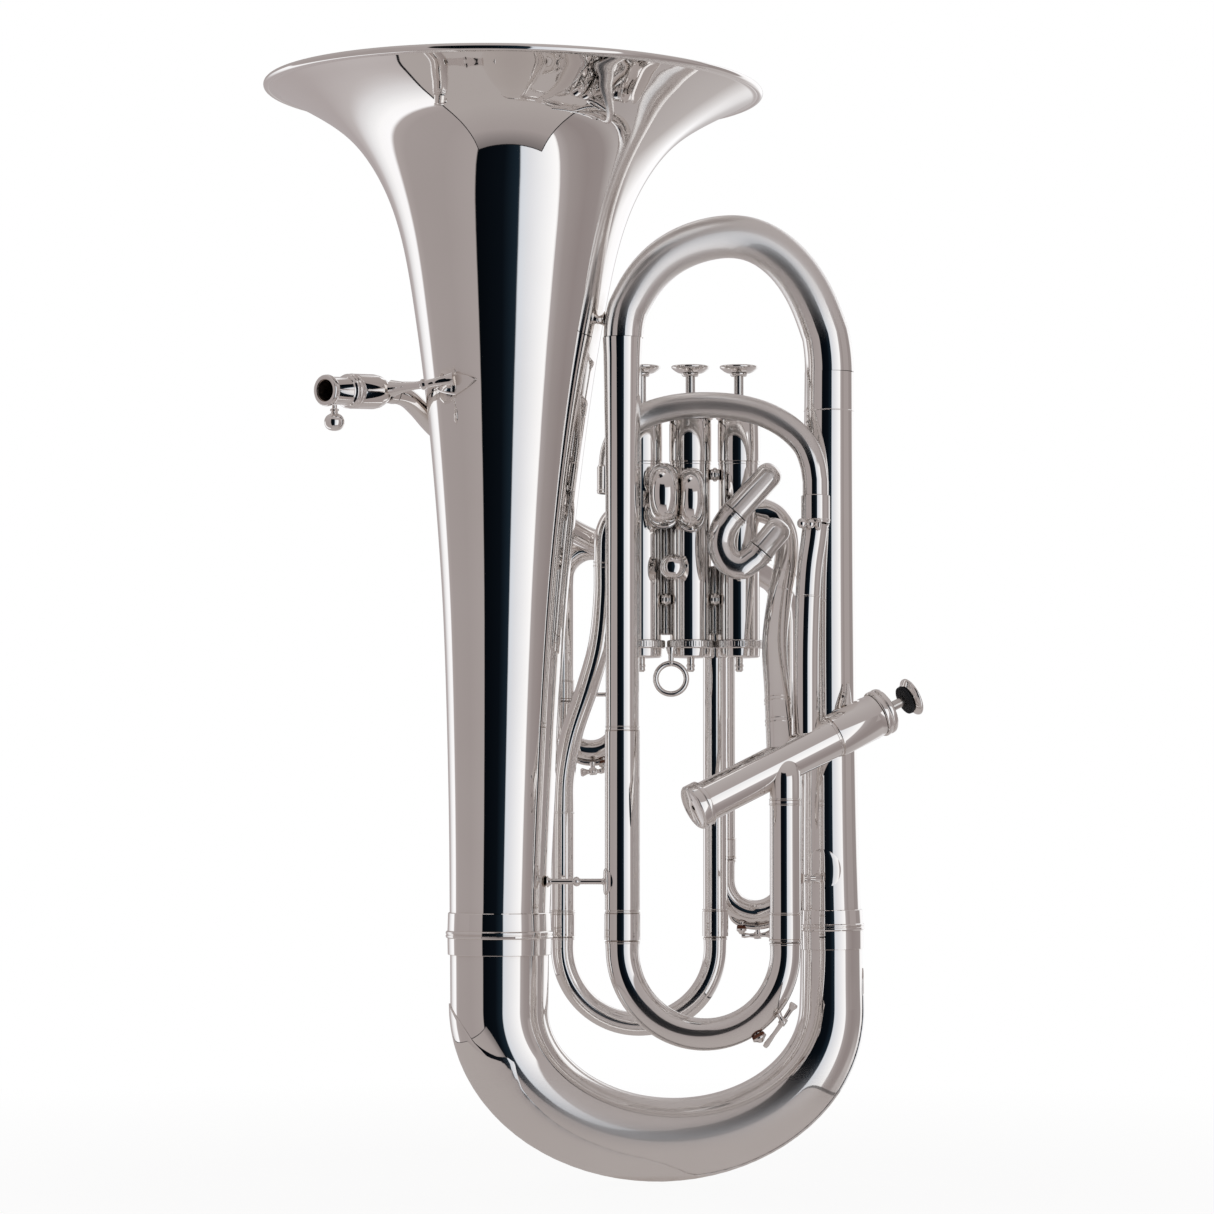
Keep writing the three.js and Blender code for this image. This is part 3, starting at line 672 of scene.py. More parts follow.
tube("bottom_bow_tube", bow_path, bow_radius, sides=96, wall=1.0, replaces="bottom_bow")
BELL_FERRULE = [    # height above the lower edge, radius
    (0, 30.6), (0, 31.0), (0.25, 31.3), (7.6, 31.45), (9.9, 31.45), (10.1, 32.0), (10.6, 32.45),
    (11.6, 32.6), (12.0, 32.2), (12.4, 32.2), (12.8, 32.6), (13.8, 32.45), (14.3, 32.0),
    (14.5, 31.5), (25.0, 31.15), (25.4, 30.8), (25.4, 30.4), (13, 30.25)]
turned("bell_ferrule_ring", (-55, 0, 135.32), (-55, 0, 160.71), BELL_FERRULE,
       sides=128, replaces="bell_ferrule", sharp=30)
BRANCH_FERRULE = [
    (0, 18.7), (0.2, 19.2), (11.2, 19.3), (11.4, 19.7), (12.0, 20.05), (12.9, 20.05),
    (13.3, 19.65), (13.7, 19.65), (14.1, 20.0), (14.9, 19.95), (15.4, 19.3), (23.5, 18.9),
    (23.8, 18.6), (23.8, 18.45), (12, 18.4)]
turned("outer_branch_ferrule_ring", (145.72, 0, 138.66), (145.41, 0, 162.35), BRANCH_FERRULE,
       sides=96, replaces="outer_branch_ferrule", sharp=30)

GUARD_WIDTHS = [    # angle round the bow from its left end, half width in degrees round the tube
    (-0.03, 2), (0.0, 16), (0.05, 34), (0.12, 46), (0.2, 55), (0.3, 72), (0.36, 88), (0.42, 93),
    (0.5, 88), (0.6, 82), (0.9, 76), (1.2, 72), (1.45, 66), (1.56, 58), (1.64, 46), (1.69, 33),
    (1.74, 23), (1.95, 17), (2.6, 17), (3.0, 19), (3.25, 13), (3.38, 7), (pi + 0.30, 1.5)]


def bow_guard(rows=150, columns=34):
    """plate hugging the outside of the bow, with an ogee point at each end"""
    outer, inner = [], []
    for t in np.linspace(-0.03, pi + 0.30, rows):
        turn = min(max(t, 0), pi)       # past either end the plate runs straight up the leg
        centre = BOW_CENTRE + vec(-BOW_HALF_WIDTH * cos(turn), 0,
                                  -BOW_DEPTH * sin(turn) + abs(t - turn) * BOW_DEPTH)
        out = unit(vec(-BOW_DEPTH * cos(turn), 0, -BOW_HALF_WIDTH * sin(turn)))
        s = bow_along[BOW_LEG_STEPS + int(round(turn / pi * BOW_STEPS))] + 80 * (t - turn)
        r = bow_radius(min(max(s, 0), bow_along[-1]))
        width = radians(float(np.interp(t, *zip(*GUARD_WIDTHS))))
        for v in np.linspace(-width, width, columns):
            spoke = cos(v) * out + sin(v) * vec(0, 1, 0)
            inset = min(max((width - abs(v)) * r / 0.5, 0), 1)      # 0 at the edge, 1 inside
            swell = math.sqrt(max(0.0, 1 - (1 - inset) ** 2))
            outer.append(centre + (r + 0.12 + 0.75 * swell) * spoke)
            inner.append(centre + (r + 0.06) * spoke)
    mesh_object("bow_guard_plate", outer + inner, sheet_faces(rows, columns),
                replaces="bow_guard", sharp=50)


bow_guard()

# ---------------------------------------------------------------- branches and top bow
INNER_BRANCH = (19.3, -22)      # x, y; also the left leg of the main slide
MAIN_RIGHT = (115.8, -50)       # right leg of the main slide

tube("outer_branch_tube",
     curve([(145.59, 0, 150.45), (144.87, 0, 194.55), (144.62, 0, 267.45), (144.62, 0, 352.5),
            (144.87, 0, 425.4), (145.17, 0, 488.4)]),
     [(0, 18.2), (60, 17.3), (140, 16.2), (240, 15.5), (336, 14.9)],
     sides=72, wall=0.8, replaces="outer_branch", beads=[(-24, -23.2, 0.25)])


def top_bow_path():
    """two elliptical quarters that move forward to the inner branch, eased at the crown"""
    path = []
    # centre x, centre z, half width, height, angles
    for x, z, half_width, height, angles in (
            (84.12, 488.58, 61.2, 84.4, np.linspace(0, pi / 2, 41)),
            (83.46, 507.39, 63.6, 63.0, np.linspace(pi / 2, pi, 41)[1:])):
        for t in angles:
            share = t / pi
            y = INNER_BRANCH[1] * share * share * (3 - 2 * share)
            path.append(vec(x + half_width * cos(t), y, z + height * sin(t)))
    path = np.array(path)
    for _ in range(60):
        path[8:-8] = 0.5 * path[8:-8] + 0.25 * (path[7:-9] + path[9:-7])
    return path


top_bow = top_bow_path()
top_bow_length = arc_lengths(top_bow)[-1]
tube("top_bow_tube", top_bow,
     [(0, 14.9), (0.3 * top_bow_length, 13.8), (0.55 * top_bow_length, 12.9), ("end", 12.0)],
     sides=72, wall=0.8, replaces="top_bow")
tube("inner_branch_tube", straight(at(INNER_BRANCH, 507.2), at(INNER_BRANCH, 144.7), 6),
     [(0, 12.0), (12, 11.4), (60, 10.6), (120, 10.15), (236, 10.05), (362.5, 10.1)],
     sides=64, wall=0.65, replaces="inner_branch", sharp=30,
     beads=[(234.3, 235.1, 0.35), (236.3, 237.1, 0.45), (237.1, 344.5, 0.5),
            (345.3, 346.4, 0.55), (346.4, -0.01, 0.75)])

# ---------------------------------------------------------------- main tuning slide
VALVE4_FOOT, VALVE4_HEAD = vec(60.5, -63, 223.7), vec(178.4, -18.5, 283.1)
VALVE4_AXIS = unit(VALVE4_HEAD - VALVE4_FOOT)
VALVE4_LENGTH = float(norm(VALVE4_HEAD - VALVE4_FOOT))


def along_valve4(distance):
    return VALVE4_FOOT + VALVE4_AXIS * distance


def valve4_saddle(radius):
    return along_valve4(60), VALVE4_AXIS, radius


main_path = u_path(INNER_BRANCH, MAIN_RIGHT, bend=139.4, depth=50.2, left_top=205,
                   right_top=205, steps=56)
tube("main_slide_tube", main_path,
     [(0, 9.35), (60.6, 9.35), (60.9, 10.35), (66, 10.1), (144, 9.6), (-66, 9.0), (-60.9, 9.2),
      (-60.6, 7.9), ("end", 7.9)], "main_slide", sides=56, wall=0.5, replaces="main_slide",
     beads=[(60.9, 62.2, 0.3), (-62.2, -60.9, 0.3)])
tube("main_slide_receiver_tube",
     chain(straight(at(MAIN_RIGHT, 144.8), at(MAIN_RIGHT, 236), 3),
           curve([at(MAIN_RIGHT, 236), (115.8, -49.6, 241.5), (115.8, -47.5, 246),
                  (115.8, -43.5, 249.5)])),
     [(0, 9.3), (200, 9.0)], sides=48, wall=0.5, replaces="main_slide_receiver",
     saddle_end=valve4_saddle(12.0), sharp=30,
     beads=[(0.01, 1.4, 0.5), (1.4, 16, 0.35), (16.2, 17.2, 0.4), (80.6, 81.5, 0.45),
            (81.5, 83.6, 0.25), (83.6, 84.6, 0.45)])

# ---------------------------------------------------------------- fourth valve
# profiles: distance along the valve axis from its foot, radius
CAP4_DEPTH = 8.3
low = CAP4_DEPTH
top = VALVE4_LENGTH - CAP4_DEPTH
head = VALVE4_LENGTH
button4 = VALVE4_LENGTH + 14.5


def on_valve4(name, profile, **options):
    return turned("valve4_" + name, VALVE4_FOOT, VALVE4_HEAD, profile, **options)


def finger_button(valve, start, end, z):
    """dished button whose underside is at distance z"""
    profile = [(-0.1, 0), (-0.1, 4.2), (0.2, 7.4), (1.0, 9.0), (2.2, 10.6), (2.9, 11.45),
               (3.5, 11.75), (4.1, 11.7), (4.45, 11.3), (4.45, 10.7), (4.1, 10.2), (3.5, 8.6),
               (3.2, 6), (3.1, 3), (3.1, 0)]
    turned(valve + "_finger_button", start, end, [(z + d, r) for d, r in profile], valve,
           sides=72, replaces=valve + "_button", sharp=50)


on_valve4("casing_tube",
          [(low, 10.3), (low, 12.1), (98.6, 12.15), (98.8, 12.5), (99.6, 12.5), (99.8, 12.2),
           (100.4, 12.2), (100.6, 13.1), (101.6, 13.3), (top - 4, 13.3), (top - 3.6, 13.1),
           (top, 13.1), (top, 10.3)], sides=96, replaces="valve4_casing", sharp=30)
on_valve4("bottom_cap_cup",
          [(0.6, 1.6), (0.6, 11.2), (0.0, 11.5), (0.0, 12.9), (0.9, 13.8), (5.0, 13.8),
           (5.4, 13.4), (5.8, 13.8), (low - 0.3, 13.8), (low - 0.3, 9.8), (2.4, 9.6),
           (2.4, 1.6)], fillet=0.35, sides=96, replaces="valve4_bottom_cap", sharp=35)
on_valve4("top_cap_cup",
          [(top + 0.3, 9.8), (top + 0.3, 13.6), (top + 0.9, 14.3), (top + 3.2, 14.3),
           (top + 3.6, 13.7), (top + 4.2, 13.7), (top + 4.6, 14.3), (head - 2, 14.3),
           (head - 0.6, 13.6), (head, 11.5), (head + 0.3, 6), (head + 0.3, 3.4),
           (head - 2, 3.4)], fillet=0.4, sides=96, replaces="valve4_top_cap", sharp=35)
on_valve4("piston_stem",
          [(34, 0), (34, 9.2), (35, 10), (top - 4, 10), (top - 3, 9.2), (top - 3, 3),
           (button4 - 0.3, 2.9), (button4 - 0.3, 0)],
          body="valve4", sides=48, replaces="valve4_piston", mat=MONEL)
finger_button("valve4", VALVE4_FOOT, VALVE4_HEAD, button4)
felt_top = button4 - 0.15
felt = on_valve4("felt", [(button4 - 2.3, 3.05), (button4 - 2.3, 8.6), (felt_top, 8.9),
                          (felt_top, 3.05)], fillet=0.4, body="valve4", sides=48, mat=FELT)
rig.squash(felt, "valve4_press", tuple(VALVE4_AXIS),
          tuple((along_valve4(felt_top) + OFFSET) * MM), 0.35)

# ---------------------------------------------------------------- valves 1 to 3
VALVE_X, VALVE_Y = (31.1, 61.2, 90.9), 21.0
# profiles: height, radius
CASING = [(326.3, 10.6), (326.3, 12.5), (433.6, 12.5), (433.8, 12.75), (434.8, 12.75),
          (435.0, 12.45), (435.4, 12.45), (435.6, 12.9), (436.4, 13.0), (458.6, 13.0),
          (459, 12.8), (461.2, 12.8), (461.2, 10.6)]
BOTTOM_CAP = [(306.9, 0), (306.9, 1.6), (308.0, 2.5), (309.3, 2.2), (310.6, 2.7), (312, 2.2),
              (315.2, 2.4), (315.3, 7), (315.6, 11.6), (316.4, 12.6), (320.9, 12.8),
              (321.1, 12.8), (321.1, 13.2), (326.2, 13.2), (326.2, 0)]
BOTTOM_RING = [(321.2, 13.0), (321.2, 14.1), (321.7, 14.5), (322.0, 14.5), (322.4, 14.42),
               (325.0, 14.42), (325.4, 14.5), (325.7, 14.5), (326.1, 14.1), (326.1, 13.0)]
RING_FLUTES = (322.3, 325.1, 60, 0.14)
TOP_CAP = [(461.5, 9.8), (461.5, 13.5), (462.2, 14.1), (464, 14.1), (464.4, 13.6), (465, 13.6),
           (465.4, 14.1), (468, 14.1), (469.4, 13.4), (470.6, 11.6), (471.2, 7.0), (471.2, 3.5),
           (468.5, 3.5)]
PISTON = [(363.0, 0), (363.0, 9.6), (363.8, 10.3), (456, 10.3), (457, 9.6), (457, 3),
          (489.9, 2.95), (489.9, 0)]
COLLAR = [(488.2, 3.05), (488.2, 4.6), (488.8, 5.2), (490.0, 5.6), (490.0, 3.05)]

for number, x in enumerate(VALVE_X, start=1):
    valve = f"valve{number}"
    axis = vec(x, VALVE_Y, 0), vec(x, VALVE_Y, 1)
    turned(valve + "_casing_tube", *axis, CASING, sides=96, replaces=valve + "_casing", sharp=30)
    turned(valve + "_bottom_cap_cup", *axis, BOTTOM_CAP, fillet=0.25, sides=96,
           replaces=valve + "_bottom_cap", sharp=40)
    turned(valve + "_bottom_cap_ring", *axis, BOTTOM_RING, sides=240, mat=SILVER_SATIN,
           flutes=RING_FLUTES, sharp=25)
    turned(valve + "_top_cap_cup", *axis, TOP_CAP, fillet=0.4, sides=96,
           replaces=valve + "_top_cap", sharp=40)
    turned(valve + "_piston_stem", *axis, PISTON, valve, sides=48, replaces=valve + "_piston",
           mat=MONEL)
    finger_button(valve, *axis, 490.2)
    turned(valve + "_collar", *axis, COLLAR, valve, fillet=0.3, sides=48)


def casing_saddle(index):
    return vec(VALVE_X[index], VALVE_Y, 300), UP, 12.2


# spools between the casings: left x, right x, y, z, radius, flange
for name, left, right, y, z, radius, flange in (
        ("spool_1_2_low", 43.4, 48.9, VALVE_Y - 4, 351, 3.2, 0.8),
        ("spool_2_3_low", 73.4, 78.7, VALVE_Y - 4, 351, 3.2, 0.8),
        ("spool_2_3_high", 73.4, 78.7, VALVE_Y - 4, 427.5, 3.4, 0.9)):
    length = right - left
    turned(name, (left, y, z), (right, y, z),
           [(0, 0), (0, radius), (length * 0.22, radius * 0.98),
            (length * 0.36, radius + flange), (length * 0.64, radius + flange),
            (length * 0.78, radius * 0.98), (length, radius), (length, 0)], fillet=0.3, sides=40)

# ------------------------------------- crossover arch, its return, third to fourth valve
ARCH = [(12.61, -1.5, 414.35), (12.61, -1.5, 430.75), (13.95, -1.5, 440.46),
        (17.89, -1.5, 449.57), (24.57, -1.5, 456.85), (33.07, -1.8, 461.99),
        (49.42, -4.5, 466.59), (71.1, -10.5, 467.66), (92.69, -16, 465.02),
        (108.83, -20, 459.4), (121.1, -22, 451.39), (129.73, -24, 441.58),
        (133.89, -25, 430.67), (135.47, -26, 420.37), (135.44, -26.6, 394.66)]
tube("crossover_arch_tube",
     chain(straight(ARCH[0], ARCH[1]), curve(ARCH[1:-1], 10), straight(ARCH[-2], ARCH[-1])),
     7.8, sides=56, wall=0.5, replaces="crossover_arch",
     beads=[(0.01, 16.6, 0.85, 0.4), (-17.0, -0.01, 0.85, 0.4), (1.6, 2.4, 0.25),
            (-2.4, -1.6, 0.25)])
tube("crossover_return_tube",
     curve([(135.32, -26.6, 394.36), (134.14, -27.2, 384.23), (131.59, -29, 366.1),
            (129.64, -32, 326.96), (129.2, -35, 290.9), (129.1, -37, 263.92)]),
     [(0, 7.8), (30, 7.6), (130, 7.4)], sides=48, wall=0.5, replaces="crossover_return",
     saddle_end=valve4_saddle(12.95), beads=[(0.01, 1.2, 0.4), (44, 45, 0.3)])
tube("valve3_to_valve4_pipe",
     curve([(96.36, 20.5, 406.78), (104.93, 20.5, 405.86), (113.49, 20, 401.85),
            (118.87, 17, 393.08), (119.87, 12, 377.5), (115.18, 2, 352.6),
            (111.27, -12, 324.11), (112.04, -30, 291.02), (112.76, -41.5, 260.87)], 9),
     [(0, 7.4), ("end", 7.7)], sides=48, wall=0.5, replaces="valve3_to_valve4_tube",
     saddle_start=casing_saddle(2), saddle_end=valve4_saddle(12.0),
     beads=[(58, 59, 0.3), (70, 71, 0.3), (-30, -29, 0.35), (-27.5, -26.8, 0.3),
            (-16.5, -15.5, 0.35), (-14, -13.2, 0.3)])

# ---------------------------------------------------------------- fourth slide
FOURTH_LEFT, FOURTH_RIGHT = (-17.4, 43.0), (76.7, 43.0)     # x, y of the legs
fourth_return = curve(
    [at(FOURTH_LEFT, 221), (-16.57, 43, 243.36), (-11.93, 42, 268.06), (-1.71, 37, 298.81),
     (5.39, 31, 324.49), (8.53, 25, 353.72), (8.77, 22, 376.86), (9.57, 21, 391.5),
     (13.68, 21, 400.08), (22.86, 21, 404.06)], 9)
tube("fourth_return_pipe",
     chain(straight(at(FOURTH_LEFT, 144.8), at(FOURTH_LEFT, 221)), fourth_return),
     [(0, 7.4), (76, 7.3), (90, 6.8), ("end", 6.9)], sides=48, wall=0.45,
     replaces="fourth_return_tube", saddle_end=casing_saddle(0), sharp=30,
     beads=[(0.01, 13.6, 0.45), (13.9, 14.9, 0.6), (15.4, 16.0, 0.45), (75.5, 76.5, 0.35),
            (-40, -39, 0.35), (-37.5, -36.8, 0.3)])
tube("fourth_sleeve_right_tube",
     chain(straight(at(FOURTH_RIGHT, 144.8), at(FOURTH_RIGHT, 330), 3),
           curve([at(FOURTH_RIGHT, 330), (77.2, 42, 340.5), (79, 39.2, 348),
                  (82.2, 34.6, 353.6)])),
     7.4, sides=48, wall=0.5, replaces="fourth_sleeve_right", saddle_end=casing_saddle(2),
     beads=[(0.01, 15.6, 0.55), (15.9, 16.8, 0.7), (79, 80, 0.35)], sharp=30)
tube("fourth_slide_tube",
     u_path(FOURTH_LEFT, FOURTH_RIGHT, bend=138,
            depth=(FOURTH_RIGHT[0] - FOURTH_LEFT[0]) / 2, left_top=200, right_top=200, steps=56),
     [(0, 6.75), (55.6, 6.75), (55.9, 7.3), (62, 7.1), (-62, 7.1), (-55.9, 7.3), (-55.6, 6.75),
      ("end", 6.75)], "fourth_slide", sides=48, wall=0.45, replaces="fourth_slide",
     beads=[(55.9, 57.2, 0.3), (-57.2, -55.9, 0.3)])

# ------------------------------------------- third and first slides, behind the valves
BACK_Y = 60.0
THIRD_X, FIRST_X = (82.2, 122.0), (-17.4, 18.1)     # x of the two legs

# sleeves: name, x, bottom, top of the straight, bend to the casing, radius, casing, replaces
for name, x, bottom, bend_start, bend, radius, index, replaced in (
        ("third_sleeve_left", THIRD_X[0], 192, 350,
         [(82.3, 57.5, 363), (84, 49, 374), (87, 37, 380)], 7.7, 2, "third_slide_sleeves"),
        ("third_sleeve_right", THIRD_X[1], 192, 340,
         [(120.5, 57.5, 352), (114, 49.5, 363), (104, 37, 369)], 7.7, 2, ""),
        ("first_sleeve_left", FIRST_X[0], 290, 362,
         [(-16.5, 60.3, 371), (-12, 60.8, 379), (-4, 61, 384), (6, 60.5, 384),
          (15, 58.5, 379), (22, 53, 371), (26.5, 44.5, 365.5)], 6.9, 0, "first_slide_sleeves"),
        ("first_sleeve_right", FIRST_X[1], 290, 312,
         [(18.6, 57.5, 323), (21, 50, 333), (25, 38, 338)], 6.7, 0, "")):
    corner = (x, BACK_Y, bend_start)
    tube(name, chain(straight((x, BACK_Y, bottom), corner, 3), curve([corner] + bend)), radius,
         sides=44, wall=0.45, replaces=replaced, saddle_end=casing_saddle(index),
         beads=[(0.01, 1.4, 0.55), (1.4, 12, 0.35), (12.2, 13, 0.4)], sharp=30)


def stay(name, start, end, radius, start_pad, end_pad):
    """rod with a knop in the middle and a pad at each end"""
    length = float(norm(vec(end) - vec(start)))
    turned(name, start, end,
           [(0, 0), (0, start_pad), (0.7, start_pad - 0.2), (1.5, radius + 0.9), (2.4, radius),
            (length * 0.44, radius), (length * 0.46, radius + 0.9), (length * 0.5, radius + 1.3),
            (length * 0.54, radius + 0.9), (length * 0.56, radius), (length - 2.4, radius),
            (length - 1.5, radius + 0.9), (length - 0.7, end_pad - 0.2), (length, end_pad),
            (length, 0)], fillet=0.4, sides=40)


stay("third_sleeve_stay", (THIRD_X[0] + 7.4, BACK_Y, 240), (THIRD_X[1] - 7.4, BACK_Y, 240),
     radius=1.7, start_pad=3.6, end_pad=3.6)
stay("first_sleeve_stay", (FIRST_X[0] + 6.6, BACK_Y, 294), (FIRST_X[1] - 6.6, BACK_Y, 294),
     radius=1.3, start_pad=2.4, end_pad=2.4)


def back_slide(body, legs, shoulder, bend, left_top, right_top, radius, inner_radius):
    """U-shaped slide; above the shoulder it narrows to fit in its sleeves"""
    path = u_path((legs[0], BACK_Y), (legs[1], BACK_Y), bend, (legs[1] - legs[0]) / 2,
                  left_top, right_top, steps=40)
    left, right = left_top - shoulder, shoulder - right_top
    tube(body + "_tube", path,
         [(0, inner_radius), (left - 0.3, inner_radius), (left, radius + 0.3),
          (left + 4, radius), (right - 4, radius), (right, radius + 0.3),
          (right + 0.3, inner_radius), ("end", inner_radius)],
         body, sides=44, wall=0.45, replaces=body,
         beads=[(left, left + 1.2, 0.3), (right - 1.2, right, 0.3)])


THIRD_BEND, FIRST_BEND = 179, 277       # height where the crooks start
back_slide("third_slide", THIRD_X, shoulder=191.4, bend=THIRD_BEND, left_top=235, right_top=235,
           radius=7.4, inner_radius=6.9)
back_slide("first_slide", FIRST_X, shoulder=289.4, bend=FIRST_BEND, left_top=325, right_top=309,
           radius=6.4, inner_radius=5.9)


def pull_bar(body, legs, bend, drop):
    """curved bar under a crook, on two posts"""
    name = body + "_pull_bar"
    middle, half = (legs[0] + legs[1]) / 2, (legs[1] - legs[0]) / 2
    path = [vec(middle - half * 0.78 * cos(t), BACK_Y, bend - drop - half * 0.42 * sin(t))
            for t in np.linspace(0, pi, 31)]
    tube(name, path, [(0, 1.3), (4, 1.6), (20, 1.9)], body, sides=24, solid=True)
    reach = drop - half * 0.5
    for i, sign in enumerate((-1, 1)):
        turned(f"{name}_post{i}", (middle + sign * half * 0.74, BACK_Y, bend - half * 0.55),
               (middle + sign * half * 0.76, BACK_Y, bend - drop),
               [(0, 0), (0, 2.2), (3, 1.7), (reach, 1.9), (reach + 1, 0)], body,
               fillet=0.3, sides=24)


pull_bar("third_slide", THIRD_X, THIRD_BEND, drop=20.5)
pull_bar("first_slide", FIRST_X, FIRST_BEND, drop=18.0)

# ---------------------------------------------------- short slides in front of the valves
# name, body, x, z, bend radius, tube radius, y of the open ends, y of the bend's front,
# ferrule radius
FRONT_SLIDES = [
    ("first_compensating", "first_compensating_slide", 44.3, 413.4, 10.2, 8.9, 2, -21, 9.6),
    ("second_slide", "second_slide", 61.2, 411.2, 11.3, 7.7, 4, -17, 8.3)]
for name, body, x, z, bend, radius, y_open, y_front, _ in FRONT_SLIDES:
    arc = [vec(x, y_front + bend - bend * sin(t), z + bend * cos(t))
           for t in np.linspace(0, pi, 41)]
    tube(name + "_crook", chain([(x, y_open, z + bend)], arc, [(x, y_open, z - bend)]), radius,
         body, sides=56, wall=0.5, replaces=body, side=(1, 0, 0),
         beads=[(1.2, 2.2, 0.45), (-2.2, -1.2, 0.45)])
for name, _, x, z, bend, _, y_open, _, r in FRONT_SLIDES:
    for i, sign in enumerate((1, -1)):
        turned(f"{name}_ferrule{i}", (x, y_open + 11.2, z + sign * bend),
               (x, y_open - 0.4, z + sign * bend),
               [(0, r - 1.3), (0, r), (3, r + 0.1), (5.2, r + 0.1), (5.6, r - 0.35),
                (6.2, r - 0.35), (6.6, r + 0.1), (7.6, r), (7.6, r - 1.0)],
               fillet=0.2, sides=48)
turned("slide_post", (52.32, -12, 409.96), (52.56, 2, 410.96),
       [(0, 0), (0.3, 1.6), (1.5, 2.3), (3, 1.7), (6, 1.6), (13, 2.4), (14, 0)],
       fillet=0.3, sides=24)
# small knuckle between valves one and two
turned("knuckle_bulb", (49.97, 6, 370.12), (49.97, -12, 370.12),
       [(-6, 0), (-6, 6.6), (3, 7.0), (4.2, 7.8), (5.0, 7.9), (5.6, 7.5)]
       + dome(base=5.8, height=6.4, radius=7.6, power=0.8, start=0.02), sides=56)

# third compensating bend, with a capped slide out of each end
COMP_RADIUS = 8.4
UPPER_END, UPPER_WAY = vec(87.6, -5, 402.58), vec(0.672, 0, 0.741)
LOWER_END, LOWER_WAY = vec(103.13, -5, 379.66), vec(0.64, 0, 0.768)
bend_start, bend_end = UPPER_END - UPPER_WAY * 4, LOWER_END - LOWER_WAY * 5
tube("third_compensating_bend",
     chain(straight(UPPER_END, bend_start),
           curve([bend_start, (80.69, -5, 392.27), (79.24, -5, 382.57), (83.36, -5, 373.78),
                  (90.94, -5, 370.45), bend_end], 10),
           straight(bend_end, LOWER_END)),
     COMP_RADIUS, sides=56, replaces="third_compensating_elbow",
     beads=[(0.01, 1.2, 0.55), (2.0, 3.0, 0.4), (-3.0, -2.0, 0.4), (-1.2, -0.01, 0.55)])
# which, open end, direction, a point near the tip, length past that point
for which, start, way, tip, extra in (
        ("upper", UPPER_END, UPPER_WAY, vec(108.22, -5, 425.01), 7.0),
        ("lower", LOWER_END, LOWER_WAY, vec(113.67, -5, 392.88), 5.6)):
    length = float(norm(tip - start)) + extra
    r = COMP_RADIUS
    turned(f"third_compensating_crook_{which}", start, start + way * length,
           [(0.3, 0), (0.3, r - 0.5), (0.5, r), (1.4, r), (1.6, r - 0.35), (2.0, r - 0.35)]
           + dome(base=length - r * 0.86, height=0.8556 * r, radius=r - 0.35, power=0.75),
           f"third_compensating_slide_{which}", sides=56,
           replaces=f"third_compensating_slide_{which}", sharp=45)

# ------------------------------------------- mouthpiece receiver, leadpipe, screw and stay
RECEIVER_MOUTH, RECEIVER_END = (-157.9, -58, 471.9), (-123.4, -16, 474.9)
turned("receiver_tube", RECEIVER_MOUTH, RECEIVER_END,
       [(0.2, 6.75), (0.0, 7.4), (0.0, 8.7), (0.7, 9.3), (2.6, 9.45), (3.6, 9.1), (4.6, 8.3),
        (17.5, 8.25), (18.2, 8.7), (19, 9.9), (20.2, 10.35), (21.4, 9.9), (22.2, 10.3),
        (23.5, 10.6), (24.6, 10.2), (25.4, 10.5), (42, 10.5), (46, 9.8), (50, 8.0),
        (53.4, 6.2), (54.2, 5.9), (54.2, 4.7), (44, 4.6), (30, 5.3)],
       fillet=0.25, sides=88, replaces="mouthpiece_receiver", sharp=45)
turned("receiver_bore_lining", RECEIVER_MOUTH, RECEIVER_END,
       [(1.2, 6.72), (30, 5.28), (44, 4.55), (44, 4.2), (1.2, 6.4)], mat=BORE)
tube("leadpipe_tube",
     curve([(-123.1, -15.6, 474.9), (-113, -2, 473.5), (-106, 12, 468.5), (-96, 33, 459),
            (-79, 49, 446), (-58, 56, 430), (-36, 56, 413), (-16, 52, 398), (2, 45, 388),
            (15, 38.5, 384.5), (24, 32.5, 382.5)]),
     [(0, 5.8), (30, 6.1), (60, 6.8), ("end", 7.8)], sides=48, wall=0.5, replaces="leadpipe",
     saddle_end=casing_saddle(0), beads=[(0.01, 6, 0.55), (6.3, 7.2, 0.4), (-26, -25, 0.4)])
turned("receiver_thumb_screw", (-152.4, -51, 464.2), (-152.4, -51, 448),
       [(0.4, 0), (0.4, 1.5), (2.4, 1.5), (2.8, 2.5), (3.8, 2.7), (4.4, 1.9), (5.4, 2.2)]
       + [(10.6 - 5.2 * cos(t), 6.1 * sin(t) ** 0.8) for t in np.linspace(0.42, pi - 0.02, 18)]
       + [(15.8, 0)], "receiver_screw", sides=56, replaces="receiver_screw")
tube("receiver_stay",
     curve([(-82, -43.6, 480.3), (-92, -42.6, 478.6), (-102, -39, 477), (-112, -33.5, 476.4),
            (-119, -28.3, 476)]),
     [(0, 4.2), (5, 3.0), (12, 2.3), (24, 2.4), (33, 3.2), ("end", 5.0)], sides=32, solid=True,
     replaces="receiver_brace", beads=[(17, 20.5, 0.9, 1.2)])


